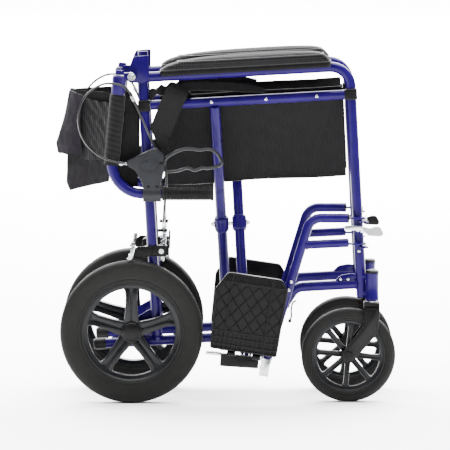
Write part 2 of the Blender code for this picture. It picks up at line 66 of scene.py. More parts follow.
PIVOT_V, BRACE_A_U, BRACE_B_U = 0.1, 0.0525, 0.0145
BRACE_LENGTH = sqrt((SEAT_RAIL - PIVOT_V) ** 2 + 4 * PLANE_Y ** 2)
BRACE_LEAN = asin(2 * PLANE_Y / BRACE_LENGTH)
SLING_HANG = radians(18.5)
THREAD = 0.0016


def centre_of(node):
    low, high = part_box(node)
    return (low + high) / 2


REAR_AXLE = centre_of("right_rear_tyre")
FRONT_AXLE = centre_of("right_front_tyre")
REAR_RADIUS = REAR_AXLE.z
FRONT_RADIUS = FRONT_AXLE.z
STEM = centre_of("right_caster_housing")
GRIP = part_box("right_hand_grip")
HANDLE_Z = centre_of("right_hand_grip").z
CANE_TOP = Vector((-0.2228, -CANE_Y, 0.6986))
CANE_CORNER = Vector((-0.2462, -CANE_Y, HANDLE_Z))
BACK_PIVOT = Vector(next(j["pos_m"] for j in frame["joints"] if j["name"] == "right_back_fold"))


def at(u, v, y=0.0):
    """A point of the tilted side frame: u along its rails, v along its posts."""
    return Vector((u * cos(TILT) - v * sin(TILT), y, u * sin(TILT) + v * cos(TILT)))


ALONG_RAIL, ALONG_POST = at(1, 0), at(0, 1)
ACROSS = Vector((0, 1, 0))
UP = Vector((0, 0, 1))


# ---------------------------------------------------------------- finishes
def linear(hex_colour):
    channels = [int(hex_colour[i:i + 2], 16) / 255 for i in (1, 3, 5)]
    return (*[c / 12.92 if c <= 0.04045 else ((c + 0.055) / 1.055) ** 2.4 for c in channels], 1.0)


def add(tree, kind, settings, links=None):
    """One node with its settings; capitalised names and numbers are sockets, the rest properties."""
    made = tree.nodes.new("ShaderNode" + kind)
    for name, value in settings.items():
        if isinstance(name, str) and name[0].islower():
            setattr(made, name, value)
    for name, value in settings.items():
        if not isinstance(name, str) or not name[0].islower():
            made.inputs[name].default_value = value
    for name, source in (links or {}).items():
        tree.links.new(source, made.inputs[name])
    return made


def surface(name, settings):
    """A Principled material with its base settings; returns the material, tree, shader and place."""
    material = bpy.data.materials.new(name)
    material.use_nodes = True
    tree = material.node_tree
    shader = tree.nodes["Principled BSDF"]
    for socket, value in settings.items():
        shader.inputs[socket].default_value = value
    place = add(tree, "TexCoord", {}).outputs["Object"]
    return material, tree, shader, place


def two_tone(tree, shader, mask, dark, light, low=0.0, high=1.0):
    """Base colour from dark to light, as the mask goes from low to high."""
    ramp = add(tree, "ValToRGB", {}, {"Fac": mask})
    for stop, position, tone in zip(ramp.color_ramp.elements, (low, high), (dark, light)):
        stop.position, stop.color = position, linear(tone)
    tree.links.new(ramp.outputs["Color"], shader.inputs["Base Color"])


def mottle(tree, shader, place, size, dark, light):
    """Soft variation of the base colour in patches of the given size; returns its mask."""
    mask = add(tree, "TexNoise", {"Scale": 1 / size, "Detail": 4.0}, {"Vector": place}).outputs["Fac"]
    two_tone(tree, shader, mask, dark, light, 0.35, 0.65)
    return mask


def relief(tree, shader, height, depth, below=None):
    """Relief of the given depth in metres."""
    bump = add(tree, "Bump", {"Strength": 1.0, "Distance": depth}, {"Height": height})
    if below:
        tree.links.new(below, bump.inputs["Normal"])
    tree.links.new(bump.outputs["Normal"], shader.inputs["Normal"])
    return bump.outputs["Normal"]


def grain(tree, shader, place, size, depth, **settings):
    """Fine relief of noise at the given size."""
    bumps = add(tree, "TexNoise", {"Scale": 1 / size, **settings}, {"Vector": place})
    relief(tree, shader, bumps.outputs["Fac"], depth)


def tipped(tree, place, angle):
    """The place turned about the cross axis, so that a weave follows its cloth."""
    return add(tree, "Mapping", {"Rotation": (0, angle, 0)}, {"Vector": place}).outputs["Vector"]


def spread(tree, shader, mask, low, high):
    """Roughness that follows a mask between two values."""
    span = add(tree, "MapRange", {"To Min": low, "To Max": high}, {"Value": mask})
    tree.links.new(span.outputs["Result"], shader.inputs["Roughness"])


def powder_enamel():
    """Cobalt polyester powder coat on steel tube: deep blue, wet gloss, faint orange peel."""
    material, tree, shader, place = surface("cobalt_powder_enamel", {
        "Coat Weight": 0.1, "Coat Roughness": 0.05, "Coat IOR": 1.5, "Coat Tint": linear("#e4dcff"),
        "Specular IOR Level": 0.08})
    spread(tree, shader, mottle(tree, shader, place, 0.03, "#10013e", "#170249"), 0.24, 0.34)
    grain(tree, shader, place, 0.0035, 0.00004, Detail=2.0)
    return material


def moulded(name, dark, light, roughness, depth=0.00008, specular=0.5):
    """Injection-moulded plastic with a fine spark-eroded grain."""
    material, tree, shader, place = surface(name, {"Specular IOR Level": specular})
    spread(tree, shader, mottle(tree, shader, place, 0.02, dark, light), roughness - 0.06, roughness + 0.06)
    grain(tree, shader, place, 0.0012, depth, Detail=3.0, Roughness=0.6)
    return material


def tyre_rubber():
    """Solid grey-black tyre rubber: dull, a little dusty, with a fine matt skin."""
    material, tree, shader, place = surface("tyre_rubber", {"Specular IOR Level": 0.16})
    spread(tree, shader, mottle(tree, shader, place, 0.025, "#060605", "#0b0b0a"), 0.55, 0.72)
    grain(tree, shader, place, 0.0011, 0.00012, Detail=4.0)
    return material


def bright_plate(name, dark, light, roughness):
    """Zinc or nickel plated steel: bright, a little uneven in its shine."""
    material, tree, shader, place = surface(name, {"Metallic": 1.0})
    spread(tree, shader, mottle(tree, shader, place, 0.006, dark, light), roughness - 0.06, roughness + 0.08)
    return material


def bands(tree, place, direction, pitch):
    """Even ribs across the given axis; a wave's bands repeat every 2 pi / 20 of its scale."""
    wave = add(tree, "TexWave", {"bands_direction": direction, "Scale": pi / 10 / pitch, "Distortion": 0.0},
               {"Vector": place})
    return wave.outputs["Fac"]


def product(tree, first, second):
    return add(tree, "Math", {"operation": "MULTIPLY"}, {0: first, 1: second}).outputs["Value"]


def ribbed_nylon(name, dark, light, pitch, turn):
    """Corded black nylon cloth with fine threads across its cords; its colour is painted lighter on the cords'
    crests and darker in their grooves, a painted highlight and shade, in cloudy patches of random tone.
    """
    material, tree, shader, place = surface(name, {
        "Sheen Weight": 0.05, "Sheen Roughness": 0.5, "Specular IOR Level": 0.12, "Roughness": 0.8})
    along = tipped(tree, place, turn)
    ribs = bands(tree, along, "X", pitch)
    thread = bands(tree, along, "Z", THREAD)
    cloud = add(tree, "TexNoise", {"Scale": 60.0, "Detail": 5.0}, {"Vector": place}).outputs["Fac"]
    # painted highlight on the cord crests and painted shade in the grooves, scaled by random cloudy patches
    two_tone(tree, shader, product(tree, ribs, cloud), dark, light, 0.0, 0.75)
    relief(tree, shader, ribs, 0.0004, relief(tree, shader, thread, 0.00015))
    return material


def mesh_cloth(name, dark, light, pitch):
    """Knitted spacer mesh: rows of small round holes over a darker ground."""
    material, tree, shader, place = surface(name, {
        "Sheen Weight": 0.02, "Sheen Roughness": 0.45, "Specular IOR Level": 0.08, "Roughness": 0.8})
    holes = add(tree, "TexVoronoi", {"Scale": 1 / pitch, "Randomness": 0.12},
                {"Vector": tipped(tree, place, TILT)}).outputs["Distance"]
    two_tone(tree, shader, holes, dark, light, 0.15, 0.55)
    relief(tree, shader, holes, 0.0012)
    return material


def plain_cloth(name, dark, light, sheen=0.02):
    """Coated bag cloth: a tight plain weave that catches the light."""
    material, tree, shader, place = surface(name, {
        "Sheen Weight": sheen, "Sheen Roughness": 0.4, "Specular IOR Level": 0.1, "Roughness": 0.7})
    weave = product(tree, bands(tree, place, "X", THREAD), bands(tree, place, "Z", THREAD))
    mottle(tree, shader, place, 0.035, dark, light)
    creases = add(tree, "TexNoise", {"Scale": 28.0, "Detail": 3.0, "Distortion": 0.6}, {"Vector": place})
    lower = relief(tree, shader, creases.outputs["Fac"], 0.0025)
    relief(tree, shader, weave, 0.00018, lower)
    return material


def webbing():
    """Woven nylon webbing: coarse diagonal weave, its colour painted lighter on the raised crossings and darker
    between them as a painted highlight and shade.
    """
    material, tree, shader, place = surface("belt_webbing", {
        "Sheen Weight": 0.06, "Specular IOR Level": 0.15, "Roughness": 0.75})
    slant = tipped(tree, place, radians(38))
    weave = product(tree, bands(tree, slant, "X", 2 * THREAD), bands(tree, slant, "Z", 2 * THREAD))
    # painted highlight on the raised weave crossings and painted shade between them
    two_tone(tree, shader, weave, "#040405", "#131314")
    relief(tree, shader, weave, 0.0005)
    return material


ENAMEL = powder_enamel()
TYRE = tyre_rubber()
RIM = moulded("nylon_rim", "#030406", "#06070a", 0.34, specular=0.18)
BLACK = moulded("black_polypropylene", "#020203", "#050506", 0.42, specular=0.13)
LEVER_BLACK = moulded("grey_black_nylon", "#0c0d0f", "#121316", 0.45, specular=0.25)
SLATE = moulded("slate_nylon", "#0f1013", "#15171b", 0.5, specular=0.2)
GRIP_RUBBER = moulded("grip_rubber", "#040404", "#08080a", 0.55, depth=0.0001, specular=0.15)
PALE_PADDLE = moulded("pale_grey_acetal", "#8d8f92", "#999b9e", 0.4)
SHEATH = moulded("cable_sheath", "#060607", "#0a0a0b", 0.3, depth=0.00002, specular=0.35)
ZINC = bright_plate("bright_zinc", "#b4b6b8", "#d4d6d8", 0.25)
SEAT_CLOTH = ribbed_nylon("ribbed_seat_nylon", "#040405", "#121213", 0.0042, TILT)
BACK_CLOTH = ribbed_nylon("ribbed_back_nylon", "#050506", "#151416", 0.0042, radians(-4))
FLAP_CLOTH = plain_cloth("coated_bag_nylon", "#0d0b10", "#141117")
SKIRT_CLOTH = plain_cloth("charcoal_bag_nylon", "#070608", "#0d0b0f")
HEM_CLOTH = plain_cloth("black_hem_nylon", "#050506", "#0c0c0d", 0.01)
PAD_MESH = mesh_cloth("arm_pad_mesh", "#020202", "#1b1b1c", 0.0056)
PIPING = moulded("piping_cord", "#181818", "#202020", 0.5, specular=0.2)
SLEEVE_CLOTH = ribbed_nylon("cane_sleeve_nylon", "#040405", "#141414", 0.0105, radians(72))
WEBBING = webbing()
SLOTS = {"enamel": [ENAMEL], "tyre": [TYRE], "rim": [RIM], "black_plastic": [BLACK, LEVER_BLACK],
         "slate_plastic": [SLATE, PALE_PADDLE], "grip_rubber": [GRIP_RUBBER], "cable": [SHEATH],
         "chrome": [ZINC], "pad_cloth": [PAD_MESH, PIPING], "webbing": [WEBBING],
         "nylon": [SEAT_CLOTH, BACK_CLOTH, FLAP_CLOTH, SKIRT_CLOTH, HEM_CLOTH, SLEEVE_CLOTH]}
SLOT_OF = {finish.name: slot for slot, finishes in SLOTS.items() for finish in finishes}


# ---------------------------------------------------------------- shapes
def bent(corners, bend, step=radians(7)):
    """The corners' path with each corner rounded to the bend radius."""
    path = [corners[0]]
    for before, corner, after in zip(corners, corners[1:], corners[2:]):
        back = (before - corner).normalized()
        ahead = (after - corner).normalized()
        turn = pi - back.angle(ahead)
        centre = corner + (back + ahead).normalized() * bend / cos(turn / 2)
        spoke = corner + back * bend * tan(turn / 2) - centre
        axis = spoke.cross(corner + ahead * bend * tan(turn / 2) - centre).normalized()
        count = ceil(turn / step)
        path += [centre + Matrix.Rotation(turn * i / count, 3, axis) @ spoke for i in range(count + 1)]
    return path + [corners[-1]]


def eased(route, parts):
    """A smooth curve through every route point, each stretch in equal parts."""
    points = [Vector(p) for p in route]
    ends = [points[0] * 2 - points[1]] + points + [points[-1] * 2 - points[-2]]
    path = []
    for a, b, c, d in zip(ends, ends[1:], ends[2:], ends[3:]):
        for k in range(parts):
            t = k / parts
            path.append(0.5 * (2 * b + (c - a) * t + (2 * a - 5 * b + 4 * c - d) * t ** 2
                               + (3 * b - a - 3 * c + d) * t ** 3))
    return path + [points[-1]]


def swept(path, radius, sides=28, flat=None):
    """A round section carried along a path. The radius may follow the share of the way, and with flat,
    a direction, it may be a pair: the section's reach square to flat and along it."""
    shape = bmesh.new()
    reach = radius if callable(radius) else (lambda share: radius)
    ring = bmesh.ops.create_circle(shape, cap_ends=True, segments=sides, radius=1.0)["verts"]
    edges = list(shape.edges)
    rings = [ring]
    for _ in path[1:]:
        grown = bmesh.ops.extrude_edge_only(shape, edges=edges)["geom"]
        rings.append([v for v in grown if isinstance(v, bmesh.types.BMVert)])
        edges = [e for e in grown if isinstance(e, bmesh.types.BMEdge)
                 and all(v in rings[-1] for v in e.verts)]
    bmesh.ops.contextual_create(shape, geom=edges)
    direction = (path[1] - path[0]).normalized()
    across = flat.cross(direction).normalized() if flat else direction.orthogonal().normalized()
    for i, (point, ring) in enumerate(zip(path, rings)):
        ahead = path[min(i + 1, len(path) - 1)] - point
        behind = point - path[max(i - 1, 0)]
        along = (ahead.normalized() + behind.normalized()).normalized()
        across = (across - along * across.dot(along)).normalized()
        side = along.cross(across)
        size = reach(i / (len(path) - 1))
        wide, high = size if isinstance(size, tuple) else (size, size)
        for vert in ring:
            vert.co = point + across * vert.co.x * wide + side * vert.co.y * high
    return shape


def turned(profile, centre, axis, steps=48):
    """A (radius, height) profile turned about an axis; points of radius 0 close its poles."""
    shape = bmesh.new()
    axis = axis.normalized()
    across = axis.orthogonal().normalized()
    verts = [shape.verts.new(centre + across * r + axis * h) for r, h in profile]
    edges = [shape.edges.new(pair) for pair in zip(verts, verts[1:])]
    bmesh.ops.spin(shape, geom=verts + edges, cent=centre, axis=axis, angle=2 * pi, steps=steps,
                   use_merge=True)
    bmesh.ops.remove_doubles(shape, verts=shape.verts, dist=0.000002)
    bmesh.ops.recalc_face_normals(shape, faces=shape.faces)
    return shape


def ring_of(profile, centre, axis, steps=96):
    """A closed (radius, height) profile turned about an axis."""
    return turned(profile + profile[:1], centre, axis, steps)


def bar(start, end, radius, edge=0.0006, steps=32):
    """A round bar with broken edges."""
    length = (end - start).length
    return turned([(0, 0), (radius - edge, 0), (radius, edge), (radius, length - edge),
                   (radius - edge, length), (0, length)], start, end - start, steps)


def block(outline, near, far, place, edge=0.001, segments=2):
    """An outline given thickness, its edges rounded; place turns (a, b, depth) into a point."""
    shape = bmesh.new()
    face = shape.faces.new([shape.verts.new(place(a, b, near)) for a, b in outline])
    grown = bmesh.ops.extrude_face_region(shape, geom=[face])["geom"]
    push = place(0, 0, far) - place(0, 0, near)
    bmesh.ops.translate(shape, vec=push, verts=[v for v in grown if isinstance(v, bmesh.types.BMVert)])
    if edge:
        soften(shape, 0.35, edge, segments)
    bmesh.ops.recalc_face_normals(shape, faces=shape.faces)
    return shape


def rectangle(a, b):
    return [(a[0], b[0]), (a[1], b[0]), (a[1], b[1]), (a[0], b[1])]


def rounded(corners, radius, steps=4):
    """An outline with its corners rounded."""
    points = []
    count = len(corners)
    for i, corner in enumerate(corners):
        here = Vector(corner)
        back = Vector(corners[i - 1]) - here
        ahead = Vector(corners[(i + 1) % count]) - here
        reach = min(radius, back.length * 0.45, ahead.length * 0.45)
        first, last = here + back.normalized() * reach, here + ahead.normalized() * reach
        for k in range(steps + 1):
            t = k / steps
            points.append(tuple(first * (1 - t) ** 2 + here * 2 * t * (1 - t) + last * t ** 2))
    return points


def side_view(a, b, depth):
    return Vector((a, depth, b))


def mesh_of(name, shape):
    """The shape as a mesh, its normals outwards."""
    mesh = bpy.data.meshes.new(name)
    bmesh.ops.recalc_face_normals(shape, faces=shape.faces)
    shape.to_mesh(mesh)
    shape.free()
    return mesh


def together(*shapes):
    """Several shapes as one."""
    whole = bmesh.new()
    for shape in shapes:
        part = mesh_of("part", shape)
        whole.from_mesh(part)
        bpy.data.meshes.remove(part)
    return whole


def both_sides(half, middle=()):
    """A (radius, height) profile mirrored in height, with the middle between its halves."""
    return [(r, -h) for r, h in reversed(half)] + [*middle] + half


def side_faces(shape, area):
    """The faces larger than an area that look out to the right."""
    return [f for f in shape.faces if f.normal.y < -0.99 and f.calc_area() > area]


def recess(shape, faces, *steps):
    """Faces sunk in steps of (inset, depth)."""
    for inset, depth in steps:
        bmesh.ops.inset_region(shape, faces=faces, thickness=inset, depth=depth)


def smoothed(shape, times=1):
    for _ in range(times):
        bmesh.ops.smooth_vert(shape, verts=shape.verts, factor=0.5, use_axis_x=True, use_axis_y=True,
                              use_axis_z=True)
    return shape


def soften(shape, steepest, edge, segments=1):
    """Round the edges that turn by more than an angle."""
    sharp = [e for e in shape.edges if len(e.link_faces) == 2 and e.calc_face_angle(0) > steepest]
    bmesh.ops.bevel(shape, geom=sharp, offset=edge, segments=segments, profile=0.5, affect="EDGES", material=-1)


def hex_head(centre, axis, radius=0.006, height=0.004):
    """A hexagon head on a washer."""
    axis = axis.normalized()
    washer = bar(centre, centre + axis * 0.001, radius * 1.35, 0.0003, 24)
    head = turned([(0, 0.0009), (radius, 0.0009), (radius, height * 0.8), (radius * 0.86, height),
                   (0, height)], centre, axis, 6)
    return together(washer, head)


def pan_head(centre, axis, radius=0.004, height=0.0022):
    """A domed screw head."""
    axis = axis.normalized()
    dome = [(radius * cos(radians(a)), height * sin(radians(a))) for a in range(0, 81, 16)]
    return turned([(0, -0.0005), (radius, -0.0005)] + dome + [(0, height)], centre, axis, 20)


def weld(centre, axis, radius, thickness=0.0022, steps=44):
    """A welded fillet round a joint, its surface rippled by the passes."""
    profile = [(radius + thickness * cos(a), thickness * sin(a)) for a in (2 * pi * k / 8 for k in range(8))]
    shape = ring_of(profile, centre, axis, steps)
    for vert in shape.verts:
        vert.co += (vert.co - centre) * 0.02 * noise.noise(vert.co * 260)
    return shape


def ripple(a, b, c):
    """Smooth noise between -1 and 1 at a place given by three numbers."""
    return noise.noise(Vector((a, b, c)))


def cloth_grid(columns, rows, place, thickness):
    """A sheet laid out by place(share across, share down), given its thickness."""
    shape = bmesh.new()
    bmesh.ops.create_grid(shape, x_segments=columns, y_segments=rows, size=0.5)
    for vert in shape.verts:
        vert.co = place(vert.co.x + 0.5, vert.co.y + 0.5)
    bmesh.ops.recalc_face_normals(shape, faces=shape.faces)
    bmesh.ops.solidify(shape, geom=list(shape.faces), thickness=thickness)
    return shape


# ---------------------------------------------------------------- placing pieces
def piece(name, shape, material, body, nodes=(), angle=35):
    """Finish a shape as a named piece that rides on a body and stands for CAD nodes."""
    mesh = mesh_of(name, shape)
    mesh.materials.append(material)
    mesh.shade_smooth()
    mesh.set_sharp_from_angle(angle=radians(angle))
    made = bpy.data.objects.new(name, mesh)
    bpy.context.scene.collection.objects.link(made)
    if body:
        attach(made, body)
    if nodes:
        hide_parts(*nodes)
    return made


def mirrored(shape):
    twin = shape.copy()
    bmesh.ops.transform(twin, matrix=Matrix.Scale(-1, 4, ACROSS), verts=twin.verts)
    return twin


def pair(name, shape, material, body, nodes=(), angle=35):
    """The same piece on the right and, mirrored, on the left."""
    shapes = (("right_", shape), ("left_", mirrored(shape)))
    return [piece(side + name, half, material, side + body, [side + n for n in nodes], angle)
            for side, half in shapes]


# ---------------------------------------------------------------- side frames
def placed(points, y):
    return [Vector((p.x, -y, p.z)) for p in points]


def on_front_post(height):
    """The middle of the right front post at a height over the floor."""
    return at(FRONT_POST, (height - FRONT_POST * sin(TILT)) / cos(TILT), -PLANE_Y)


def outline_up(a, b, depth):
    """A plan outline, its depth upwards."""
    return Vector((a, b, depth))


def plug(centre, axis, radius, length=0.004):
    """A black end plug with a domed face."""
    dome = [(radius * cos(a), length * sin(a)) for a in (radians(d) for d in range(0, 76, 15))]
    return turned([(0, -0.002), (radius, -0.002)] + dome + [(0, length)], centre, axis, 28)


def side_frames():
    corners = [at(REAR_POST, ARM_RAIL), at(FRONT_POST, ARM_RAIL), at(FRONT_POST, 0.206)]
    arm = swept(bent(placed(corners, PLANE_Y), 0.043), TUBE, 32)
    tee = weld(at(REAR_POST + TUBE * 0.95, ARM_RAIL, -PLANE_Y), ALONG_RAIL, TUBE)
    foot = weld(at(FRONT_POST - TUBE * 0.95, LOWER_FRONT, -PLANE_Y), ALONG_RAIL, RAIL)
    pair("arm_frame_tube", together(arm, tee, foot), ENAMEL, "frame", ["arm_tube"])
    pair("front_post_plug", plug(at(FRONT_POST, 0.2062, -PLANE_Y), -ALONG_POST, TUBE * 0.98), BLACK,
         "frame")

    post = bar(at(REAR_POST, LOWER_REAR, -PLANE_Y), at(REAR_POST, POST_TOP - 0.006, -PLANE_Y), TUBE)
    foot_v = LOWER_REAR + RAIL
    web = block(rounded([(-0.206, foot_v - 0.004), (REAR_POST, foot_v - 0.004), (REAR_POST, 0.205),
                         (-0.15, 0.205), (-0.195, 0.181), (-0.206, 0.171)], 0.006),
                -PLANE_Y - 0.003, -PLANE_Y + 0.003, at, 0.0008)
    seam = weld(at(REAR_POST, LOWER_REAR + RAIL * 0.9, -PLANE_Y), ALONG_POST, TUBE)
    pair("rear_upright", together(post, web, seam), ENAMEL, "frame", ["rear_post"])
    lid = turned([(0, -0.002), (TUBE * 1.03, -0.002), (TUBE * 1.03, 0.0048), (TUBE * 0.94, 0.0058), (0, 0.0058)],
                 at(REAR_POST, POST_TOP - 0.006, -PLANE_Y), ALONG_POST, 36)
    pair("rear_post_cap", lid, ENAMEL, "frame")
    for side, brace_u in (("right", BRACE_A_U), ("left", BRACE_B_U)):
        lower_rail(side, brace_u)


def lower_rail(side, brace_u):
    """Lower rail with its step down, the tipping lever's rubber tip, and the brace's hanging cheeks."""
    corners = [at(FRONT_POST - TUBE, LOWER_FRONT), at(0.165, LOWER_FRONT), at(0.095, LOWER_REAR),
               at(-0.2675, LOWER_REAR)]
    rail = swept(bent(placed(corners, PLANE_Y), 0.03), RAIL, 32)
    cheeks = []
    for sign in (-1, 1):
        outline = rounded([(-0.008, PIVOT_V - 0.01), (0.008, PIVOT_V - 0.01), (0.0095, LOWER_REAR - 0.004),
                           (-0.0095, LOWER_REAR - 0.004)], 0.007, 6)
        inner = brace_u + sign * 0.0055

        def cheek(a, b, depth):
            return at(depth, b, -PLANE_Y + a)
        cheeks.append(block(outline, inner, inner + sign * 0.004, cheek, 0.0006))
    bolt = [hex_head(at(brace_u + sign * 0.0095, PIVOT_V, -PLANE_Y), ALONG_RAIL * sign, 0.0052)
            for sign in (-1, 1)]
    tip_path = placed([at(-0.247, LOWER_REAR), at(-0.267, LOWER_REAR), at(-0.2735, LOWER_REAR)], PLANE_Y)
    tip = turned([(0, 0), (0.0123, 0), (0.0128, 0.0015), (0.0124, 0.004), (0.0124, 0.019), (0.0118, 0.0235),
                  (0.0092, 0.0262), (0, 0.0268)], tip_path[0], tip_path[1] - tip_path[0], 36)
    shapes = (("bottom_rail", together(rail, *cheeks), ENAMEL, [f"{side}_lower_rail"]),
              ("lower_pivot_bolt", together(*bolt), ZINC, []),
              ("tipping_lever_tip", tip, GRIP_RUBBER, []))
    for name, shape, material, nodes in shapes:
        piece(f"{side}_{name}", shape if side == "right" else mirrored(shape), material, f"{side}_frame", nodes)


def hinge_plate():
    low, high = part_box("right_hinge_bracket")
    outline = rounded([(-0.193, 0.739), (-0.163, 0.742), (-0.161, 0.69), (-0.172, 0.682), (-0.205, 0.684),
                       (-0.208, 0.7)], 0.005)
    leaf = block(outline, low.y, high.y, side_view, 0.0008)
    edge_weld = swept([Vector((-0.1625, high.y + 0.001, z)) for z in (0.691, 0.705, 0.72, 0.741)], 0.0022, 12)
    pair("hinge_plate", together(leaf, edge_weld), ENAMEL, "frame", ["hinge_bracket"])


def caster_housing():
    low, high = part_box("right_caster_housing")
    centre = Vector((STEM.x, STEM.y, low.z))
    tall = high.z - low.z - 0.0062
    barrel = turned([(0.0072, 0.0), (0.0136, 0.0), (0.0143, 0.001), (0.0143, 0.005), (0.0138, 0.0062),
                     (0.0138, tall - 0.006), (0.0143, tall - 0.0048), (0.0143, tall - 0.001),
                     (0.0137, tall - 0.0002), (0, tall - 0.0002)], centre, UP, 48)
    webs = []
    for height in (0.232, 0.268):
        spot = on_front_post(height)
        webs.append(swept([Vector((spot.x, -PLANE_Y, height)), Vector((STEM.x, STEM.y, height))], 0.0075, 20))
    pair("swivel_housing", together(barrel, *webs), ENAMEL, "frame", ["caster_housing"])
    cap = turned([(0, -0.003), (0.0118, -0.003), (0.0118, 0), (0.0145, 0.0002), (0.0145, 0.0034),
                  (0.0128, 0.0056), (0.0085, 0.007), (0, 0.0076)], centre + UP * tall, UP, 40)
    pair("swivel_housing_cap", cap, BLACK, "frame")


# ---------------------------------------------------------------- wheels
def tyre_section(radius, bead, half, grooves):
    """Closed section of a solid tyre: grooved crown, rounded shoulders, a lip at the rim."""
    crown = []
    span = 0.56 * half
    for k in range(grooves):
        mid = -span + 2 * span * (k + 0.5) / grooves
        width = span / grooves * 0.32
        crown += [(radius, mid - width * 1.4), (radius - 0.0022, mid - width), (radius - 0.0022, mid + width),
                  (radius, mid + width * 1.4)]
    shoulder = [(radius - 0.0016, 0.72 * half), (radius - 0.0045, 0.88 * half), (radius - 0.009, 0.975 * half),
                (radius - 0.0145, half), (bead + 0.012, 0.995 * half), (bead + 0.0085, 0.93 * half),
                (bead + 0.0075, 0.9 * half), (bead + 0.0065, 0.93 * half), (bead + 0.003, 0.9 * half),
                (bead + 0.0006, 0.8 * half), (bead - 0.0008, 0.7 * half)]
    return both_sides(shoulder, crown)


def rib(place, stations, depth, edge=0.0009):
    """A rib whose two sides follow its stations (distance, left, right)."""
    outline = [(d, left) for d, left, right in stations] + [(d, right) for d, left, right in reversed(stations)]
    return block(outline, -depth, depth, place, edge)


def spoke(place, middle, depth, edge, flank, flank_depth, flank_edge):
    """A spoke: a middle web of (distance, half width), and a rib (distance, far side, near side) on each side."""
    return [rib(place, [(d, -half, half) for d, half in middle], depth, edge)] + [
        rib(place, [(d, sign * far, sign * near) for d, far, near in flank], flank_depth, flank_edge)
        for sign in (-1, 1)]


def wheel_place(centre, angle):
    along = Vector((cos(angle), 0, sin(angle)))
    beside = Vector((-sin(angle), 0, cos(angle)))
    return lambda a, b, depth: centre + along * a + beside * b + ACROSS * depth


def rear_wheels():
    centre = REAR_AXLE
    pair("rear_solid_tyre", ring_of(tyre_section(REAR_RADIUS, 0.1065, 0.0185, 4), centre, ACROSS, 144), TYRE,
         "rear_wheel", ["rear_tyre"], angle=50)
    hoop = ring_of(both_sides([(0.0938, 0.0085), (0.0945, 0.0095), (0.0985, 0.0098), (0.1022, 0.0118),
                               (0.1035, 0.0132), (0.1062, 0.0132), (0.1068, 0.012)]), centre, ACROSS, 128)
    spokes = []
    for k in range(5):
        spokes += spoke(wheel_place(centre, pi / 2 + 2 * pi * k / 5), [
            (0.016, 0.015), (0.05, 0.012), (0.08, 0.0118), (0.09, 0.015), (0.0965, 0.021)], 0.0052, 0.0009, [
            (0.016, 0.016, 0.0012), (0.05, 0.013, 0.0012), (0.078, 0.0124, 0.0014), (0.0885, 0.0142, 0.003),
            (0.096, 0.0185, 0.0105)], 0.0092, 0.0016)
    hub = turned(both_sides([(0.023, 0.0096), (0.0222, 0.0112), (0.0205, 0.012), (0, 0.012)]), centre, ACROSS, 64)
    pair("rear_spoked_rim", together(hoop, hub, *spokes), RIM, "rear_wheel", ["rear_rim"])
    cap = turned([(0, 0.01), (0.0202, 0.01), (0.0204, 0.0138), (0.0192, 0.0152), (0.0165, 0.0166),
                  (0.012, 0.0178), (0.0065, 0.0185), (0, 0.0187)], centre, -ACROSS, 56)
    pair("rear_hub_cap", cap, BLACK, "rear_wheel")
    inner = centre + ACROSS * 0.0125
    spindle = bar(inner - ACROSS * 0.002, Vector((centre.x, -PLANE_Y + 0.006, centre.z)), 0.006)
    nut = hex_head(Vector((centre.x, -PLANE_Y + 0.003, centre.z)), ACROSS, 0.0085, 0.0065)
    spacer = turned([(0.0065, 0), (0.0105, 0), (0.0105, 0.009), (0.0065, 0.009)], inner + ACROSS * 0.0005,
                    ACROSS, 32)
    pair("rear_wheel_spindle", together(spindle, nut, spacer), ZINC, "frame", ["rear_axle"])


def front_wheels():
    centre = FRONT_AXLE
    pair("front_solid_tyre", ring_of(tyre_section(FRONT_RADIUS, 0.079, 0.016, 3), centre, ACROSS, 120), TYRE,
         "front_wheel", ["front_tyre"], angle=50)
    hoop = ring_of(both_sides([(0.068, 0.007), (0.0688, 0.008), (0.0722, 0.0082), (0.0752, 0.01),
                               (0.0762, 0.0114), (0.0787, 0.0114), (0.0792, 0.0104)]), centre, ACROSS, 112)
    spokes = []
    for k in range(8):
        spokes += spoke(wheel_place(centre, radians(-5) + 2 * pi * k / 8), [
            (0.01, 0.0056), (0.045, 0.005), (0.062, 0.0054), (0.0705, 0.0095)], 0.0046, 0.001, [
            (0.01, 0.006, 0.0012), (0.045, 0.0054, 0.0012), (0.062, 0.0056, 0.0016), (0.0705, 0.009, 0.005)],
            0.0072, 0.0008)
    hub = turned(both_sides([(0.0134, 0.0085), (0.0128, 0.0125), (0.0112, 0.0135), (0, 0.0135)]), centre,
                 ACROSS, 56)
    pair("front_spoked_rim", together(hoop, hub, *spokes), RIM, "front_wheel", ["front_rim"])


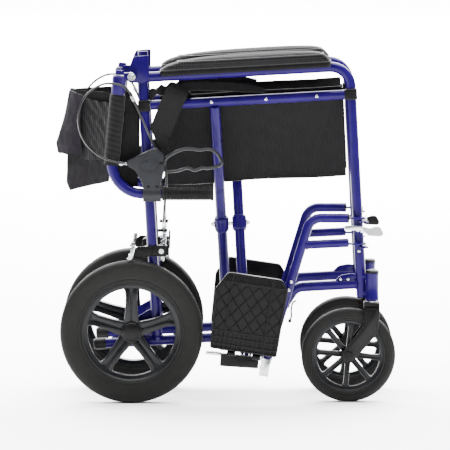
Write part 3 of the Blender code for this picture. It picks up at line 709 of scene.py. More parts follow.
def casters():
    """Nylon forks: crown and two legs with a raised edge, on a plated stem."""
    y, axle = -CASTER_Y, FRONT_AXLE
    foot = [(axle.x + 0.0155 * cos(a), axle.z + 0.0155 * sin(a))
            for a in (radians(d) for d in range(-50, -241, -15))]
    outline = [(0.2975, 0.2085), (0.3305, 0.2085), (0.3312, 0.19), (0.3268, 0.15)] + foot + [(0.2965, 0.166)]
    inset = [(0.3035, 0.2005), (0.325, 0.2005), (0.3255, 0.19), (0.3205, 0.152), (axle.x + 0.015, axle.z + 0.012),
             (axle.x + 0.002, axle.z + 0.0185), (0.302, 0.166)]
    legs = []
    for sign in (-1, 1):
        inner, outer = y + sign * 0.0178, y + sign * 0.0225
        legs.append(block(outline, inner, outer, side_view, 0.0014, 3))
        legs.append(block(rounded(inset, 0.004), outer - sign * 0.001, outer + sign * 0.001, side_view, 0.0008))
        legs.append(turned([(0, 0), (0.0115, 0), (0.0112, 0.0012), (0.0098, 0.0016), (0, 0.0016)],
                           Vector((axle.x, outer - sign * 0.0002, axle.z)), ACROSS * sign, 40))
    crown = block(rounded([(0.2972, 0.202), (0.3308, 0.202), (0.3308, 0.214), (0.2972, 0.214)], 0.003),
                  y - 0.0225, y + 0.0225, side_view, 0.0024, 3)
    pair("caster_fork", together(crown, *legs), BLACK, "caster", ["fork"])
    washer = turned([(0.0065, 0), (0.0122, 0), (0.0122, 0.0018), (0.0065, 0.0018)],
                    Vector((STEM.x, y, 0.2143)), UP, 36)
    stem = bar(Vector((STEM.x, y, 0.205)), Vector((STEM.x, y, 0.262)), 0.006)
    bolts = [hex_head(Vector((axle.x, y + sign * 0.0238, axle.z)), ACROSS * sign, 0.0048, 0.0034)
             for sign in (-1, 1)]
    pair("caster_axle_bolts", together(*bolts), BLACK, "caster")
    pin = bar(Vector((axle.x, y - 0.0235, axle.z)), Vector((axle.x, y + 0.0235, axle.z)), 0.004)
    pair("caster_stem", together(washer, stem, pin), ZINC, "caster", ["front_axle"])


# ---------------------------------------------------------------- folding back
DOWN_CANE = (CANE_CORNER - CANE_TOP).normalized()


def canes():
    end = Vector((GRIP[0].x + 0.004, -CANE_Y, HANDLE_Z))
    pipe = swept(bent([CANE_TOP, Vector((CANE_CORNER.x, -CANE_Y, HANDLE_Z)), end], 0.066), TUBE, 32)
    top = CANE_TOP + DOWN_CANE * 0.001
    sleeve = turned([(0.0105, 0), (0.0142, 0), (0.0148, 0.0008), (0.0148, 0.036), (0.0142, 0.038), (0.0112, 0.038)],
                    top, DOWN_CANE, 40)
    lug = block(rounded([(CANE_TOP.x, 0.6885), (-0.1895, 0.6885), (-0.1885, 0.706), (CANE_TOP.x, 0.706)],
                        0.0075, 6),
                -CANE_Y - 0.005, -CANE_Y + 0.0143, side_view, 0.0012)
    pair("push_cane", together(pipe, sleeve, lug), ENAMEL, "back_cane", ["cane"])
    cap = turned([(0, 0), (0.0139, 0), (0.0139, 0.001), (0.0125, 0.002), (0.0092, 0.0024), (0.0088, 0.003),
                  (0.0088, 0.0116), (0.0078, 0.0132), (0, 0.0135)], top - DOWN_CANE * 0.0002, -DOWN_CANE, 36)
    pair("cane_top_cap", cap, ENAMEL, "back_cane")
    pin = Vector((BACK_PIVOT.x, -CANE_Y, BACK_PIVOT.z))
    bolts = [hex_head(pin - ACROSS * 0.005, -ACROSS, 0.0062, 0.0045),
             pan_head(Vector((-0.1985, -CANE_Y - 0.005, 0.703)), -ACROSS, 0.0042)]
    ring = turned([(0.0088, 0), (0.0118, 0), (0.0118, 0.002), (0.0088, 0.002)], top - DOWN_CANE * 0.0026,
                  -DOWN_CANE, 32)
    shank = bar(pin - ACROSS * 0.004, Vector((pin.x, -PLANE_Y - TUBE - 0.0002, pin.z)), 0.0042)
    pair("back_hinge_bolt", together(shank, ring, *bolts), ZINC, "back_cane")


def hand_grips():
    low, high = GRIP
    radius, length = 0.015, high.x - low.x
    profile = [(0.0106, 0), (0.0146, 0), (radius, 0.0008), (radius, 0.0048), (0.0138, 0.0058)]
    x = 0.0075
    while x < length - 0.009:
        profile += [(0.0131, x), (0.0146, x + 0.0009), (0.0146, x + 0.0021), (0.0131, x + 0.003)]
        x += 0.0036
    profile += [(0.0138, length - 0.0062), (radius, length - 0.0052), (radius, length - 0.0012),
                (0.0138, length - 0.0002), (0, length)]
    grip = turned(profile, Vector((low.x, -CANE_Y, HANDLE_Z)), Vector((1, 0, 0)), 48)
    soften(grip, 0.7, 0.0002)
    pair("ribbed_grip", grip, GRIP_RUBBER, "back_cane", ["hand_grip"])


def brake_brackets():
    """Two moulded shells round the handle: raised panel, screws, adjuster and lever pivot."""
    outline = [(-0.2095, 0.5172), (-0.1485, 0.547), (-0.1296, 0.5325), (-0.1277, 0.4965), (-0.1354, 0.474),
               (-0.1354, 0.435), (-0.1734, 0.4328), (-0.1734, 0.4652), (-0.1885, 0.4967), (-0.2075, 0.5088)]
    body = block(rounded(outline, 0.006), -CANE_Y - 0.0135, -CANE_Y + 0.0135, side_view, 0.003, 4)
    lean = radians(5)
    oval = [(-0.16 + 0.022 * cos(k) * cos(lean) - 0.013 * sin(k) * sin(lean),
             0.508 + 0.022 * cos(k) * sin(lean) + 0.013 * sin(k) * cos(lean))
            for k in (2 * pi * n / 40 for n in range(40))]
    panels = []
    for sign in (-1, 1):
        y = -CANE_Y + sign * 0.0132
        raised = block(oval, y, y + sign * 0.0012, side_view, 0)
        caps = [f for f in raised.faces if abs(f.normal.y) > 0.9 and abs(f.calc_center_median().y + CANE_Y) > 0.014]
        recess(raised, caps, (0.0012, 0), (0.0008, -0.0016))
        panels.append(raised)
    collar = turned([(0.0115, 0), (0.0165, 0), (0.0172, 0.001), (0.0172, 0.0375), (0.0165, 0.0385),
                     (0.0115, 0.0385)],
                    Vector((-0.1735, -CANE_Y, HANDLE_Z)), Vector((1, 0, 0)), 44)
    pair("brake_housing", together(body, collar, *panels), SLATE, "back_cane", ["brake_bracket"],
         30)
    screws = []
    for sign in (-1, 1):
        y = -CANE_Y + sign * 0.0135
        for x, z in ((-0.162, 0.464), (-0.144, 0.464)):
            screws.append(pan_head(Vector((x, y, z)), ACROSS * sign, 0.0034, 0.0016))
        screws.append(pan_head(Vector((-0.1285 - 0.0055, y, 0.513)), ACROSS * sign, 0.005, 0.002))
    pair("brake_housing_screws", together(*screws), BLACK, "back_cane")
    start = Vector((-0.2085, -CANE_Y, 0.512))
    axis = Vector((-0.93, 0, -0.02)).normalized()
    profile = [(0, 0), (0.0042, 0)]
    for k in range(6):
        profile += [(0.0042, 0.0014 * k + 0.0004), (0.0036, 0.0014 * k + 0.001)]
    profile += [(0.0058, 0.0088), (0.0058, 0.0132), (0.004, 0.0136), (0.0034, 0.018), (0, 0.018)]
    adjuster = turned(profile, start, axis, 24)
    pair("cable_adjuster", adjuster, ZINC, "back_cane")


def brake_levers():
    """A closed loop of oval bar, its lower run waved for the fingers."""
    y = -CANE_Y
    route = [(-0.129, 0.508), (-0.1262, 0.521), (-0.115, 0.531), (-0.0929, 0.5418), (-0.0737, 0.544),
             (-0.054, 0.5412), (-0.04, 0.543), (-0.0268, 0.5418), (-0.015, 0.533), (-0.0077, 0.52),
             (-0.0068, 0.512), (-0.015, 0.5062), (-0.0354, 0.5022), (-0.048, 0.5035), (-0.063, 0.4978),
             (-0.076, 0.5028), (-0.0886, 0.501), (-0.0993, 0.4972), (-0.116, 0.4955), (-0.1262, 0.4975),
             (-0.129, 0.508)]
    path = eased([(x, y, z) for x, z in route], 5)
    loop = swept(path, (0.0036, 0.0056), 20, ACROSS)
    pair("looped_lever", loop, LEVER_BLACK, "lever", ["brake_lever"])


side_frames()
hinge_plate()
caster_housing()
rear_wheels()
front_wheels()
casters()
canes()
hand_grips()
brake_brackets()
brake_levers()


# ---------------------------------------------------------------- cross brace and seat rails
def brace_point(length, u, lean):
    """A point of a cross tube, measured from its lower pivot; lean is +1 towards the left."""
    return at(u, PIVOT_V + length * cos(BRACE_LEAN), lean * (length * sin(BRACE_LEAN) - PLANE_Y))


def cross_tube(name, body, u, lean):
    """Cross tube with its formed pivot collar and the cranked link at its foot."""
    middle = BRACE_LENGTH / 2
    pipe = bar(brace_point(0.058, u, lean), brace_point(BRACE_LENGTH - RAIL * 0.9, u, lean), TUBE, 0.0006, 36)
    low, high = brace_point(middle - 0.017, u, lean), brace_point(middle + 0.017, u, lean)
    tall = (high - low).length
    collar = turned([(0.0108, 0), (0.0135, 0.0008), (0.0153, 0.0045), (0.0156, 0.0075), (0.0156, tall - 0.0075),
                     (0.0153, tall - 0.0045), (0.0135, tall - 0.0008), (0.0108, tall)], low, high - low, 40)
    saddle = weld(brace_point(BRACE_LENGTH - RAIL * 1.02, u, lean), high - low, TUBE * 0.96)
    inward = at(0, -sin(BRACE_LEAN), lean * cos(BRACE_LEAN))
    upward = at(0, cos(BRACE_LEAN), lean * sin(BRACE_LEAN))
    foot = brace_point(0, u, lean)

    def cranked(a, b, depth):
        return foot + upward * a + inward * b + ALONG_RAIL * depth
    outline = [(-0.009, -0.006), (-0.006, -0.009), (0.01, -0.009), (0.021, 0.0038), (0.05, 0.0038),
               (0.062, -0.007), (0.084, -0.007), (0.084, 0.009), (0.06, 0.014), (0.012, 0.015), (-0.006, 0.009)]
    link = block(rounded(outline, 0.003, 3), -0.005, 0.005, cranked, 0.001)
    piece(name.replace("cross_tube", "cross_brace"), together(pipe, collar, saddle, link), ENAMEL, body, [name])


def cross_brace():
    cross_tube("cross_tube_a", "brace_a", BRACE_A_U, 1)
    cross_tube("cross_tube_b", "brace_b", BRACE_B_U, -1)
    height = (SEAT_RAIL + PIVOT_V) / 2
    shapes = [bar(at(BRACE_B_U - 0.0205, height), at(BRACE_A_U + 0.0205, height), 0.004)]
    for sign, u in ((-1, BRACE_B_U - 0.0157), (1, BRACE_A_U + 0.0157)):
        start = at(u, height)
        shapes.append(hex_head(start, ALONG_RAIL * sign, 0.0056, 0.0044))
        shapes.append(turned([(0.0046, 0.0), (0.0046, 0.0055), (0.003, 0.0075), (0, 0.0084)], start,
                             ALONG_RAIL * sign, 20))
    piece("brace_pivot_bolt", together(*shapes), ZINC, "brace_a", ["pivot_bolt"])


def seat_rails():
    for side, sign, body in (("right", -1, "brace_b"), ("left", 1, "brace_a")):
        y = sign * PLANE_Y
        start, end = at(REAR_POST + 0.0135, SEAT_RAIL, y), at(FRONT_POST - 0.0135, SEAT_RAIL, y)
        piece(f"{side}_seat_tube", bar(start, end, RAIL, 0.0006, 36), ENAMEL, body, [f"{side}_seat_rail"])
        screws = [pan_head(at(u, SEAT_RAIL, y + sign * (RAIL - 0.0002)), ACROSS * sign, 0.0036, 0.002)
                  for u in (-0.08, 0.008, 0.124, 0.232)]
        piece(f"{side}_seat_rail_screws", together(*screws), ZINC, body)


def rail_clips():
    for place, post in (("rear", REAR_POST), ("front", FRONT_POST)):
        shell = block(rounded(rectangle((post - 0.0128, post + 0.0128), (SEAT_RAIL - 0.0118, SEAT_RAIL + 0.0118)),
                              0.003, 3), -PLANE_Y - 0.0143, -PLANE_Y + 0.0143, at, 0.0022, 3)
        ribs = [block(rounded(rectangle((post - 0.0085, post + 0.0085), (v - 0.0012, v + 0.0012)), 0.001, 2),
                      -PLANE_Y - 0.0149, -PLANE_Y + 0.0149, at, 0.0004)
                for v in (SEAT_RAIL - 0.006, SEAT_RAIL + 0.006)]
        pair(f"{place}_post_clip", together(shell, *ribs), BLACK, "clips", [f"clip_{place}"])


# ---------------------------------------------------------------- seat sling
def seat_sling():
    """Half of the folded seat: hangs from the rail's inner side, folded under at the middle."""
    hang, width, inner = SLING_HANG, 0.191, TUBE + 0.001
    depth = 0.0018

    def hung(u, b, c):
        return at(u, SEAT_RAIL - b * cos(hang) + c * sin(hang), -PLANE_Y + b * sin(hang) + c * cos(hang))

    def place(s, t):
        u = -0.1 + 0.388 * s
        down = 0.004 + t * 0.214
        edge = width - 0.001 + 0.0018 * sin(9 * s)
        if down <= edge:
            b, c = down, inner
        else:
            turn = min((down - edge) / 0.0052, pi)
            b, c = edge + 0.0052 * sin(turn), inner + 0.0052 * (1 - cos(turn)) - 0.001
            b -= max(0.0, down - edge - 0.0052 * pi)
        slack = min(1.0, 4.5 * t) * (0.35 + 0.65 * t) * (1 if down <= edge else 0.4)
        fold = ripple(u * 22, t * 2.2, 3.1) * 0.0022 + ripple(u * 60, t * 5, 9.2) * 0.0008
        pull = 0.0009 * cos(2 * pi * (u + 0.08) / 0.104)
        return hung(u, b, c + slack * (abs(fold) * 1.6 + pull * (1 - t) + 0.0009))
    sheet = cloth_grid(120, 64, place, -depth)
    right, left = pair("seat_sling", sheet, SEAT_CLOTH, "sling", ["sling_half"], angle=60)

    def upper_band(rise, first):
        """The doubled edge of the cloth, screwed to the rail's inner face and standing above it."""
        def lay(s, t):
            lift = rise * (1 + 0.1 * ripple(s * 5, 0.3, 2.6))
            b = -lift + (0.02 + lift) * t
            swell = 0.001 * ripple(s * 16, t * 2, 8.1)
            return hung(first + (0.2885 - first) * s, b, inner + 0.0044 + swell)
        return cloth_grid(90, 10, lay, 0.0016)
    piece("right_sling_band", upper_band(0.0135, -0.1005), HEM_CLOTH, "right_sling", angle=60)
    piece("left_sling_band", mirrored(upper_band(0.021, -0.1005)), HEM_CLOTH, "left_sling", angle=60)
    hems = []
    for u in (-0.0995, 0.2875):
        hems.append(swept([hung(u, b, inner + 0.0012 + 0.0012 * min(1, 10 * b)) for b in
                           (0.006 + 0.172 * k / 24 for k in range(25))], (0.0026, 0.0016), 12, ACROSS))
    pair("seat_sling_hems", together(*hems), HEM_CLOTH, "sling")


def band(path, width_way, width, thickness, columns=6):
    """A flat strap along a path."""
    count = len(path) - 1

    def place(s, t):
        step = min(int(t * count + 1e-6), count - 1)
        here = path[step].lerp(path[step + 1], t * count - step)
        reach = width(t) if callable(width) else width
        return here + width_way * reach * (s - 0.5)
    return cloth_grid(columns, count, place, thickness)


def seat_belt():
    """Right half of the lap belt, over the rail and hanging outside it, with its loose end on the rail."""
    y = -PLANE_Y
    down = eased([(-0.088, y + 0.0145, 0.644), (-0.09, y + 0.013, 0.658), (-0.095, y + 0.004, 0.67),
                  (-0.098, y - 0.008, 0.671), (-0.102, y - 0.0128, 0.66), (-0.113, y - 0.0131, 0.638),
                  (-0.125, y - 0.013, 0.608), (-0.138, y - 0.0125, 0.575)], 4)
    upper = band(down, Vector((0.93, 0, -0.37)), 0.047, 0.0018)
    tuck = eased([(-0.137, y - 0.0098, 0.586), (-0.1375, y - 0.0102, 0.572), (-0.1335, y - 0.0092, 0.556),
                  (-0.129, y - 0.008, 0.541)], 5)
    lower = band(tuck, Vector((0.9, 0, -0.43)), lambda share: 0.045 - 0.022 * share, 0.003)
    crumple = eased([(-0.159, y + 0.001, 0.654), (-0.145, y - 0.003, 0.664), (-0.129, y + 0.002, 0.667),
                     (-0.112, y - 0.001, 0.672), (-0.096, y + 0.001, 0.678)], 6)
    heap = band(crumple, Vector((-0.1, 0.25, 1)).normalized(), lambda share: 0.018 + 0.006 * sin(19 * share), 0.004)
    piece("lap_belt", together(upper, lower, heap), WEBBING, "right_clips", ["seat_belt"], angle=60)
    for side, sign in (("right", 1), ("left", -1)):
        y = -PLANE_Y * sign
        run = eased([(-0.1, y, 0.668), (-0.07, y - 0.001, 0.674), (-0.03, y + 0.001, 0.674),
                     (0.01, y - 0.001, 0.673), (0.045, y + 0.001, 0.67), (0.086, y, 0.665)], 6)
        back = eased([(0.07, y + 0.004 * sign, 0.67), (0.03, y + 0.005 * sign, 0.676),
                      (-0.02, y + 0.004 * sign, 0.679), (-0.066, y + 0.005 * sign, 0.676)], 6)
        standing = Vector((0.04, 0.42 * sign, 0.9)).normalized()
        strap = together(band(run, standing, lambda share: 0.019 - 0.01 * max(0.0, share - 0.75) * 4, 0.0032),
                         band(back, standing, lambda share: 0.014 + 0.003 * sin(8 * share), 0.0026))
        piece(f"{side}_belt_tail", strap, WEBBING, f"{side}_clips", angle=60)


# ---------------------------------------------------------------- arm pads
def evaluated(made):
    """The object's mesh with its modifiers applied."""
    return bpy.data.meshes.new_from_object(made.evaluated_get(bpy.context.evaluated_depsgraph_get()))


PAD_VOXEL, PAD_PRESSURE, PAD_FRAMES = 0.0045, 4.0, 20


def swelled(shape, keep_below, reach):
    """Cloth skin of a pad, blown up gently over its foam and held at its base."""
    skin = bpy.data.objects.new("pad_skin", mesh_of("pad_skin", shape))
    scene = bpy.context.scene
    scene.collection.objects.link(skin)
    remesh = skin.modifiers.new("Even", "REMESH")
    remesh.mode = "VOXEL"
    remesh.voxel_size = PAD_VOXEL
    skin.data = evaluated(skin)
    skin.modifiers.clear()
    base = [v.co.copy() for v in skin.data.vertices]
    held = skin.vertex_groups.new(name="held")
    held.add([v.index for v in skin.data.vertices if keep_below(v.co)], 1.0, "REPLACE")
    cloth = skin.modifiers.new("Skin", "CLOTH")
    cloth.settings.use_pressure = True
    cloth.settings.uniform_pressure_force = PAD_PRESSURE
    cloth.settings.vertex_group_mass = "held"
    cloth.settings.effector_weights.gravity = 0.0
    cloth.point_cache.frame_start, cloth.point_cache.frame_end = 1, PAD_FRAMES
    for number in range(1, PAD_FRAMES + 1):
        scene.frame_set(number)
    blown = evaluated(skin)
    scene.frame_set(1)
    for vert, start in zip(blown.vertices, base):
        move = vert.co - start
        if move.length > reach:
            vert.co = start + move.normalized() * reach
    bpy.data.objects.remove(skin)
    smooth = bmesh.new()
    smooth.from_mesh(blown)
    return smoothed(smooth, 2)


def arm_pads():
    outline = [(-0.0965, 0.71), (-0.0965, 0.7165), (-0.086, 0.725), (-0.06, 0.732), (-0.025, 0.736),
               (0.03, 0.7375), (0.2, 0.7375), (0.242, 0.7365), (0.256, 0.731), (0.263, 0.72),
               (0.264, 0.71)]
    body = block(rounded(outline, 0.006, 3), -PLANE_Y - 0.0305, -PLANE_Y + 0.0305, at, 0.007, 4)

    def low_down(place):
        return place.dot(ALONG_POST) < 0.7155
    pad = swelled(body, low_down, 0.0038)
    bmesh.ops.subdivide_edges(pad, edges=pad.edges, cuts=1, use_grid_fill=True)
    smoothed(pad)
    piping = []
    tree = BVHTree.FromBMesh(pad)
    for level in (0.7318, 0.716):
        spine = [at(-0.06, level, -PLANE_Y), at(0.235, level, -PLANE_Y)]
        path = []
        for k in range(97):
            angle = 2 * pi * k / 96
            way = (ALONG_RAIL * cos(angle) + ACROSS * sin(angle)).normalized()
            start = spine[0].lerp(spine[1], 0.5 + 0.5 * cos(angle))
            hit = tree.ray_cast(start + way * 0.12, -way)[0]
            if hit:
                path.append(hit)
        piping.append(swept(path, 0.0015, 10, ALONG_POST))
    right, left = pair("padded_arm_rest", pad, PAD_MESH, "frame", ["arm_pad"], angle=60)
    pair("arm_pad_piping", together(*piping), PIPING, "frame", angle=60)
    tray = block(rounded([(-0.0975, -0.0318), (0.2655, -0.0318), (0.2655, 0.0318), (-0.0975, 0.0318)], 0.012, 6),
                 0.704, 0.715, lambda a, b, depth: at(a, depth, -PLANE_Y + b), 0.0014, 3)
    pair("arm_pad_tray", tray, BLACK, "frame")


# ---------------------------------------------------------------- back upholstery
BACK_TURN = radians(41)
SPREAD = Vector((-cos(BACK_TURN), sin(BACK_TURN), 0))
BACK_OUT = -DOWN_CANE.cross(SPREAD).normalized()


def hung_back(a, b, c):
    return CANE_TOP + SPREAD * a + DOWN_CANE * b + BACK_OUT * c


def edge_at(line, b):
    """Reach of an outline at height b down the cane."""
    for (b0, a0), (b1, a1) in zip(line, line[1:]):
        if b <= b1:
            return a0 + (a1 - a0) * max(0.0, (b - b0) / (b1 - b0))
    return line[-1][1]


def back_upholstery():
    """Folded back cloth: a creased inner panel, a coated flap over it and the loose lower panel."""
    fold = [(0.033, 0.136), (0.092, 0.144), (0.152, 0.161), (0.172, 0.154), (0.178, 0.133), (0.236, 0.127),
            (0.252, 0.112)]

    def panel(s, t):
        b = 0.058 - 0.022 * s ** 3 + t * (0.118 + 0.02 * s)
        a = 0.012 + s * (edge_at(fold, b) - 0.016)
        crease = (ripple((a + b) * 62, (a - b) * 14, 1.7) * 0.0046
                  + ripple(a * 90, b * 70, 4.0) * 0.0014)
        hollow = -0.006 * sin(pi * s) * (0.4 + 0.6 * sin(pi * t))
        return hung_back(a, b, 0.0005 + hollow + crease * sin(pi * min(1, s * 1.3)))
    inner = cloth_grid(72, 72, panel, 0.0016)

    def flap(s, t):
        b = 0.036 + t * 0.137 + 0.01 * (1 - s) * (1 - t)
        start = 0.094 + 0.008 * sin(pi * t) - 0.01 * t
        a = start + s * (edge_at(fold, b) - start)
        belly = 0.0052 * sin(pi * s) ** 0.8 + 0.003 * s * t
        fold_line = 0.0022 * ripple(a * 26, b * 16, 7.7) + 0.0008 * ripple(a * 80, b * 60, 2.2)
        return hung_back(a, b, 0.003 + belly + fold_line)
    cover = cloth_grid(72, 72, flap, 0.0016)

    def back_side(s, t):
        b = 0.036 + t * 0.137
        a = 0.03 + s * (edge_at(fold, b) - 0.03)
        return hung_back(a, b, -0.0125 + 0.005 * sin(pi * s) * 0.5 + 0.0016 * ripple(a * 30, b * 22, 5.5))
    rear = cloth_grid(48, 48, back_side, 0.0014)

    def lower(s, t):
        b = 0.158 + t * (0.068 + 0.026 * s)
        reach = edge_at([(0.158, 0.134), (0.236, 0.1275), (0.253, 0.114)], b)
        a = 0.006 + s * (reach - 0.006)
        wave = 0.002 * ripple(a * 24, b * 20, 12.5) + 0.0008 * ripple(a * 85, b * 50, 3.3)
        return hung_back(a, b, -0.002 + wave)
    skirt = cloth_grid(64, 48, lower, 0.0028)

    def edge(s, t):
        """The folded middle edge, where both layers turn round."""
        b = 0.037 + t * 0.137
        turn = pi * s
        a = edge_at(fold, b) - 0.0012 + 0.0042 * sin(turn)
        return hung_back(a, b, 0.0005 + 0.0046 * cos(turn))
    bend = cloth_grid(10, 60, edge, 0.0014)
    pieces = [("back_flap", cover, FLAP_CLOTH, ["back_half"]), ("back_panel", inner, BACK_CLOTH, []),
              ("back_lining", rear, HEM_CLOTH, []), ("back_fold", bend, FLAP_CLOTH, []),
              ("back_skirt", skirt, SKIRT_CLOTH, [])]
    for name, shape, material, nodes in pieces:
        for made in pair(name, shape, material, "back_cloth", nodes, angle=60):
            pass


def cane_sleeve():
    """Sewn channel of the back cloth round the cane, and the cloth's seam allowance in front of it."""
    path = [CANE_TOP + DOWN_CANE * (0.04 + 0.15 * k / 40) for k in range(41)]

    def girth(share):
        puff = 0.0004 * sin(share * 40) + 0.0006 * ripple(share * 14, 0.4, 2.0)
        return (0.0165 + puff, 0.015 + puff * 0.5)
    sleeve = swept(path, girth, 36, ACROSS)

    def front(s, t):
        b = 0.05 + 0.188 * t
        root = CANE_TOP + DOWN_CANE * b
        fall = max(0.0, (0.514 - root.z) / 0.066)
        left = -0.179 - 0.066 * sqrt(1 - fall * fall) if fall > 0 else root.x + 0.004
        right = -0.185 - 0.018 * max(0.0, 1 - 5 * t)
        sag = 0.001 * ripple(s * 3, t * 9, 6.6)
        return Vector((left + (right - left) * s, -CANE_Y + 0.0095 + 0.0055 * s + sag, root.z))
    allowance = cloth_grid(16, 60, front, 0.0018)
    pair("cane_sleeve", sleeve, SLEEVE_CLOTH, "back_cloth", angle=60)
    pair("cane_sleeve_allowance", allowance, HEM_CLOTH, "back_cane", angle=60)


# ---------------------------------------------------------------- footrests
def hangers():
    y = -HANGER_Y
    knee, ankle = Vector((0.183, 0, 0.395)), Vector((0.0835, 0, 0.068))
    start = Vector((0.2645, 0, 0.395))
    main = swept(bent(placed([start, knee, ankle], HANGER_Y), 0.03), 0.01, 30)
    slope = (ankle - knee).normalized()
    joint = knee + slope * ((knee.z - 0.34) / -slope.z)
    stub = [Vector((joint.x, y, 0.3375)), Vector((0.257, y, 0.342)), Vector((0.262, y, 0.3423)),
            Vector((0.264, y, 0.3424)), Vector((0.265, y, 0.3424))]
    lower = swept(stub, lambda share: (0.0094, 0.0094, 0.0094, 0.0084, 0.006)[round(4 * share)], 26)
    seam = weld(Vector((joint.x + 0.009, y, 0.3378)), Vector((1, 0, 0.05)), 0.0094)
    tabs = []
    for height in (0.34, 0.395):
        outline = rounded([(0.255, -0.0065), (0.295, -0.0065), (0.3035, 0.003), (0.295, 0.0062), (0.255, 0.0062)],
                          0.004)
        tabs.append(block(outline, height - 0.0019, height + 0.0019, lambda a, b, depth: Vector((a, y + b, depth)),
                          0.0006))
    heel = block(rounded([(0.077, 0.076), (0.093, 0.076), (0.095, 0.0955), (0.081, 0.0955)], 0.004),
                 y - 0.0105, y + 0.006, side_view, 0.0016)
    pair("footrest_hanger", together(main, lower, seam, heel, *tabs), ENAMEL, "hanger_arm", ["hanger"])
    caps = [plug(Vector((0.2643, y, 0.395)), Vector((1, 0, 0)), 0.0102, 0.0022),
            plug(ankle.copy() + Vector((0, y, 0)), slope, 0.0099, 0.0025)]
    bar_low = block(rounded([(-0.01, 0.08), (0.0715, 0.0745), (0.073, 0.098), (-0.008, 0.1065)], 0.003),
                    -PLATE_Y + 0.0105, -HANGER_Y - 0.004, side_view, 0.0016)
    pair("hanger_caps", together(*caps), BLACK, "hanger_arm")
    recess(bar_low, side_faces(bar_low, 0.0004), (0.004, 0), (0.0004, -0.002))
    pair("footplate_bracket", bar_low, BLACK, "hanger_arm")
    screws = [pan_head(Vector((x, y - 0.0098, z)), -ACROSS, 0.0036, 0.002)
              for x, z in ((0.142, 0.259), (0.1365, 0.241))]
    end = block(rounded([(0.0735, 0.058), (0.0925, 0.055), (0.099, 0.093), (0.0795, 0.096)], 0.002),
                y - 0.0135, y + 0.004, side_view, 0.001)
    rod = bar(Vector((-0.04, y - 0.008, 0.1075)), Vector((-0.008, y - 0.008, 0.1045)), 0.004)
    hook = swept(eased([(0.153, y - 0.011, 0.219), (0.1455, y - 0.0118, 0.215), (0.142, y - 0.0118, 0.199),
                        (0.1428, y - 0.0118, 0.187), (0.14, y - 0.0118, 0.179)], 5), 0.0019, 12)
    ball = turned([(0, 0), (0.0022, 0.0006), (0.0036, 0.0022), (0.004, 0.0044), (0.0034, 0.0066), (0.0018, 0.008),
                   (0, 0.0084)], Vector((0.1402, y - 0.0118, 0.18)), Vector((-0.3, 0, -1)), 20)
    pair("hanger_hook", together(hook, ball), BLACK, "hanger_arm")
    pins = [bar(Vector((0.299, y + 0.003, z)), Vector((0.299, y + 0.003, z + 0.009)), 0.004, 0.0008, 24)
            for z in (0.334, 0.389)]
    pair("hanger_fittings", together(end, rod, *screws, *pins), ZINC, "hanger_arm")
    ears = []
    for z in (0.332, 0.3865):
        post = on_front_post(z)
        outline = rounded([(post.x, -PLANE_Y + 0.004), (post.x, -PLANE_Y - 0.01), (0.29, y - 0.004),
                           (0.3, y - 0.0055), (0.3075, y + 0.001), (0.306, y + 0.008), (0.296, -PLANE_Y + 0.004)],
                          0.003)
        ears.append(block(outline, z - 0.0016, z + 0.0016, outline_up, 0.0005))
    gusset = block(rounded([(0.235, 0.25), (0.279, 0.252), (0.282, 0.272), (0.27, 0.274), (0.248, 0.27),
                            (0.236, 0.258)], 0.004), -PLANE_Y - 0.003, -PLANE_Y + 0.003, side_view, 0.0008)
    pair("front_post_ears", together(gusset, *ears), ENAMEL, "frame")
    bolts = [pan_head(Vector((x, -PLANE_Y - 0.003, 0.261)), -ACROSS, 0.0036, 0.0022) for x in (0.248, 0.264)]
    for z in (0.342, 0.386):
        post = on_front_post(z)
        bolts.append(pan_head(Vector((post.x, post.y - TUBE + 0.0003, post.z - 0.019)), -ACROSS, 0.0036, 0.002))
    pair("front_post_bolts", together(*bolts), ZINC, "frame")


def latches():
    """Plated channel on the front post, with a plastic paddle pressed on its end."""
    low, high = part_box("right_latch_lever")
    y = -HANGER_Y
    channel = block(rounded([(0.2556, 0.369), (0.295, 0.369), (0.295, 0.379), (0.2556, 0.379)], 0.0015, 3),
                    low.y, y + 0.001, side_view, 0.0005)
    recess(channel, side_faces(channel, 0.0002), (0.0022, 0), (0.0002, -0.0026))
    hub = bar(Vector((0.2853, y, 0.374)), Vector((0.2853, high.y - 0.0002, 0.374)), 0.0044)
    tang = block(rounded([(0.29, 0.364), (0.308, 0.362), (0.308, 0.374), (0.29, 0.377)], 0.002),
                 y - 0.0028, y - 0.0006, side_view, 0.0004)
    pair("latch_channel", together(channel, hub, tang), ZINC, "latch", ["latch_lever"])
    outline = rounded([(0.2935, 0.37), (0.299, 0.3655), (0.306, 0.3575), (0.334, 0.356), (0.3385, 0.3605),
                       (0.337, 0.3665), (0.331, 0.3765), (0.32, 0.377), (0.312, 0.3735), (0.296, 0.374)], 0.003)
    paddle = block(outline, y - 0.0052, y + 0.0018, side_view, 0.0018, 3)
    for side, shape, finish in (("right", paddle, PALE_PADDLE), ("left", mirrored(paddle), BLACK)):
        piece(f"{side}_latch_paddle", shape, finish, f"{side}_latch")


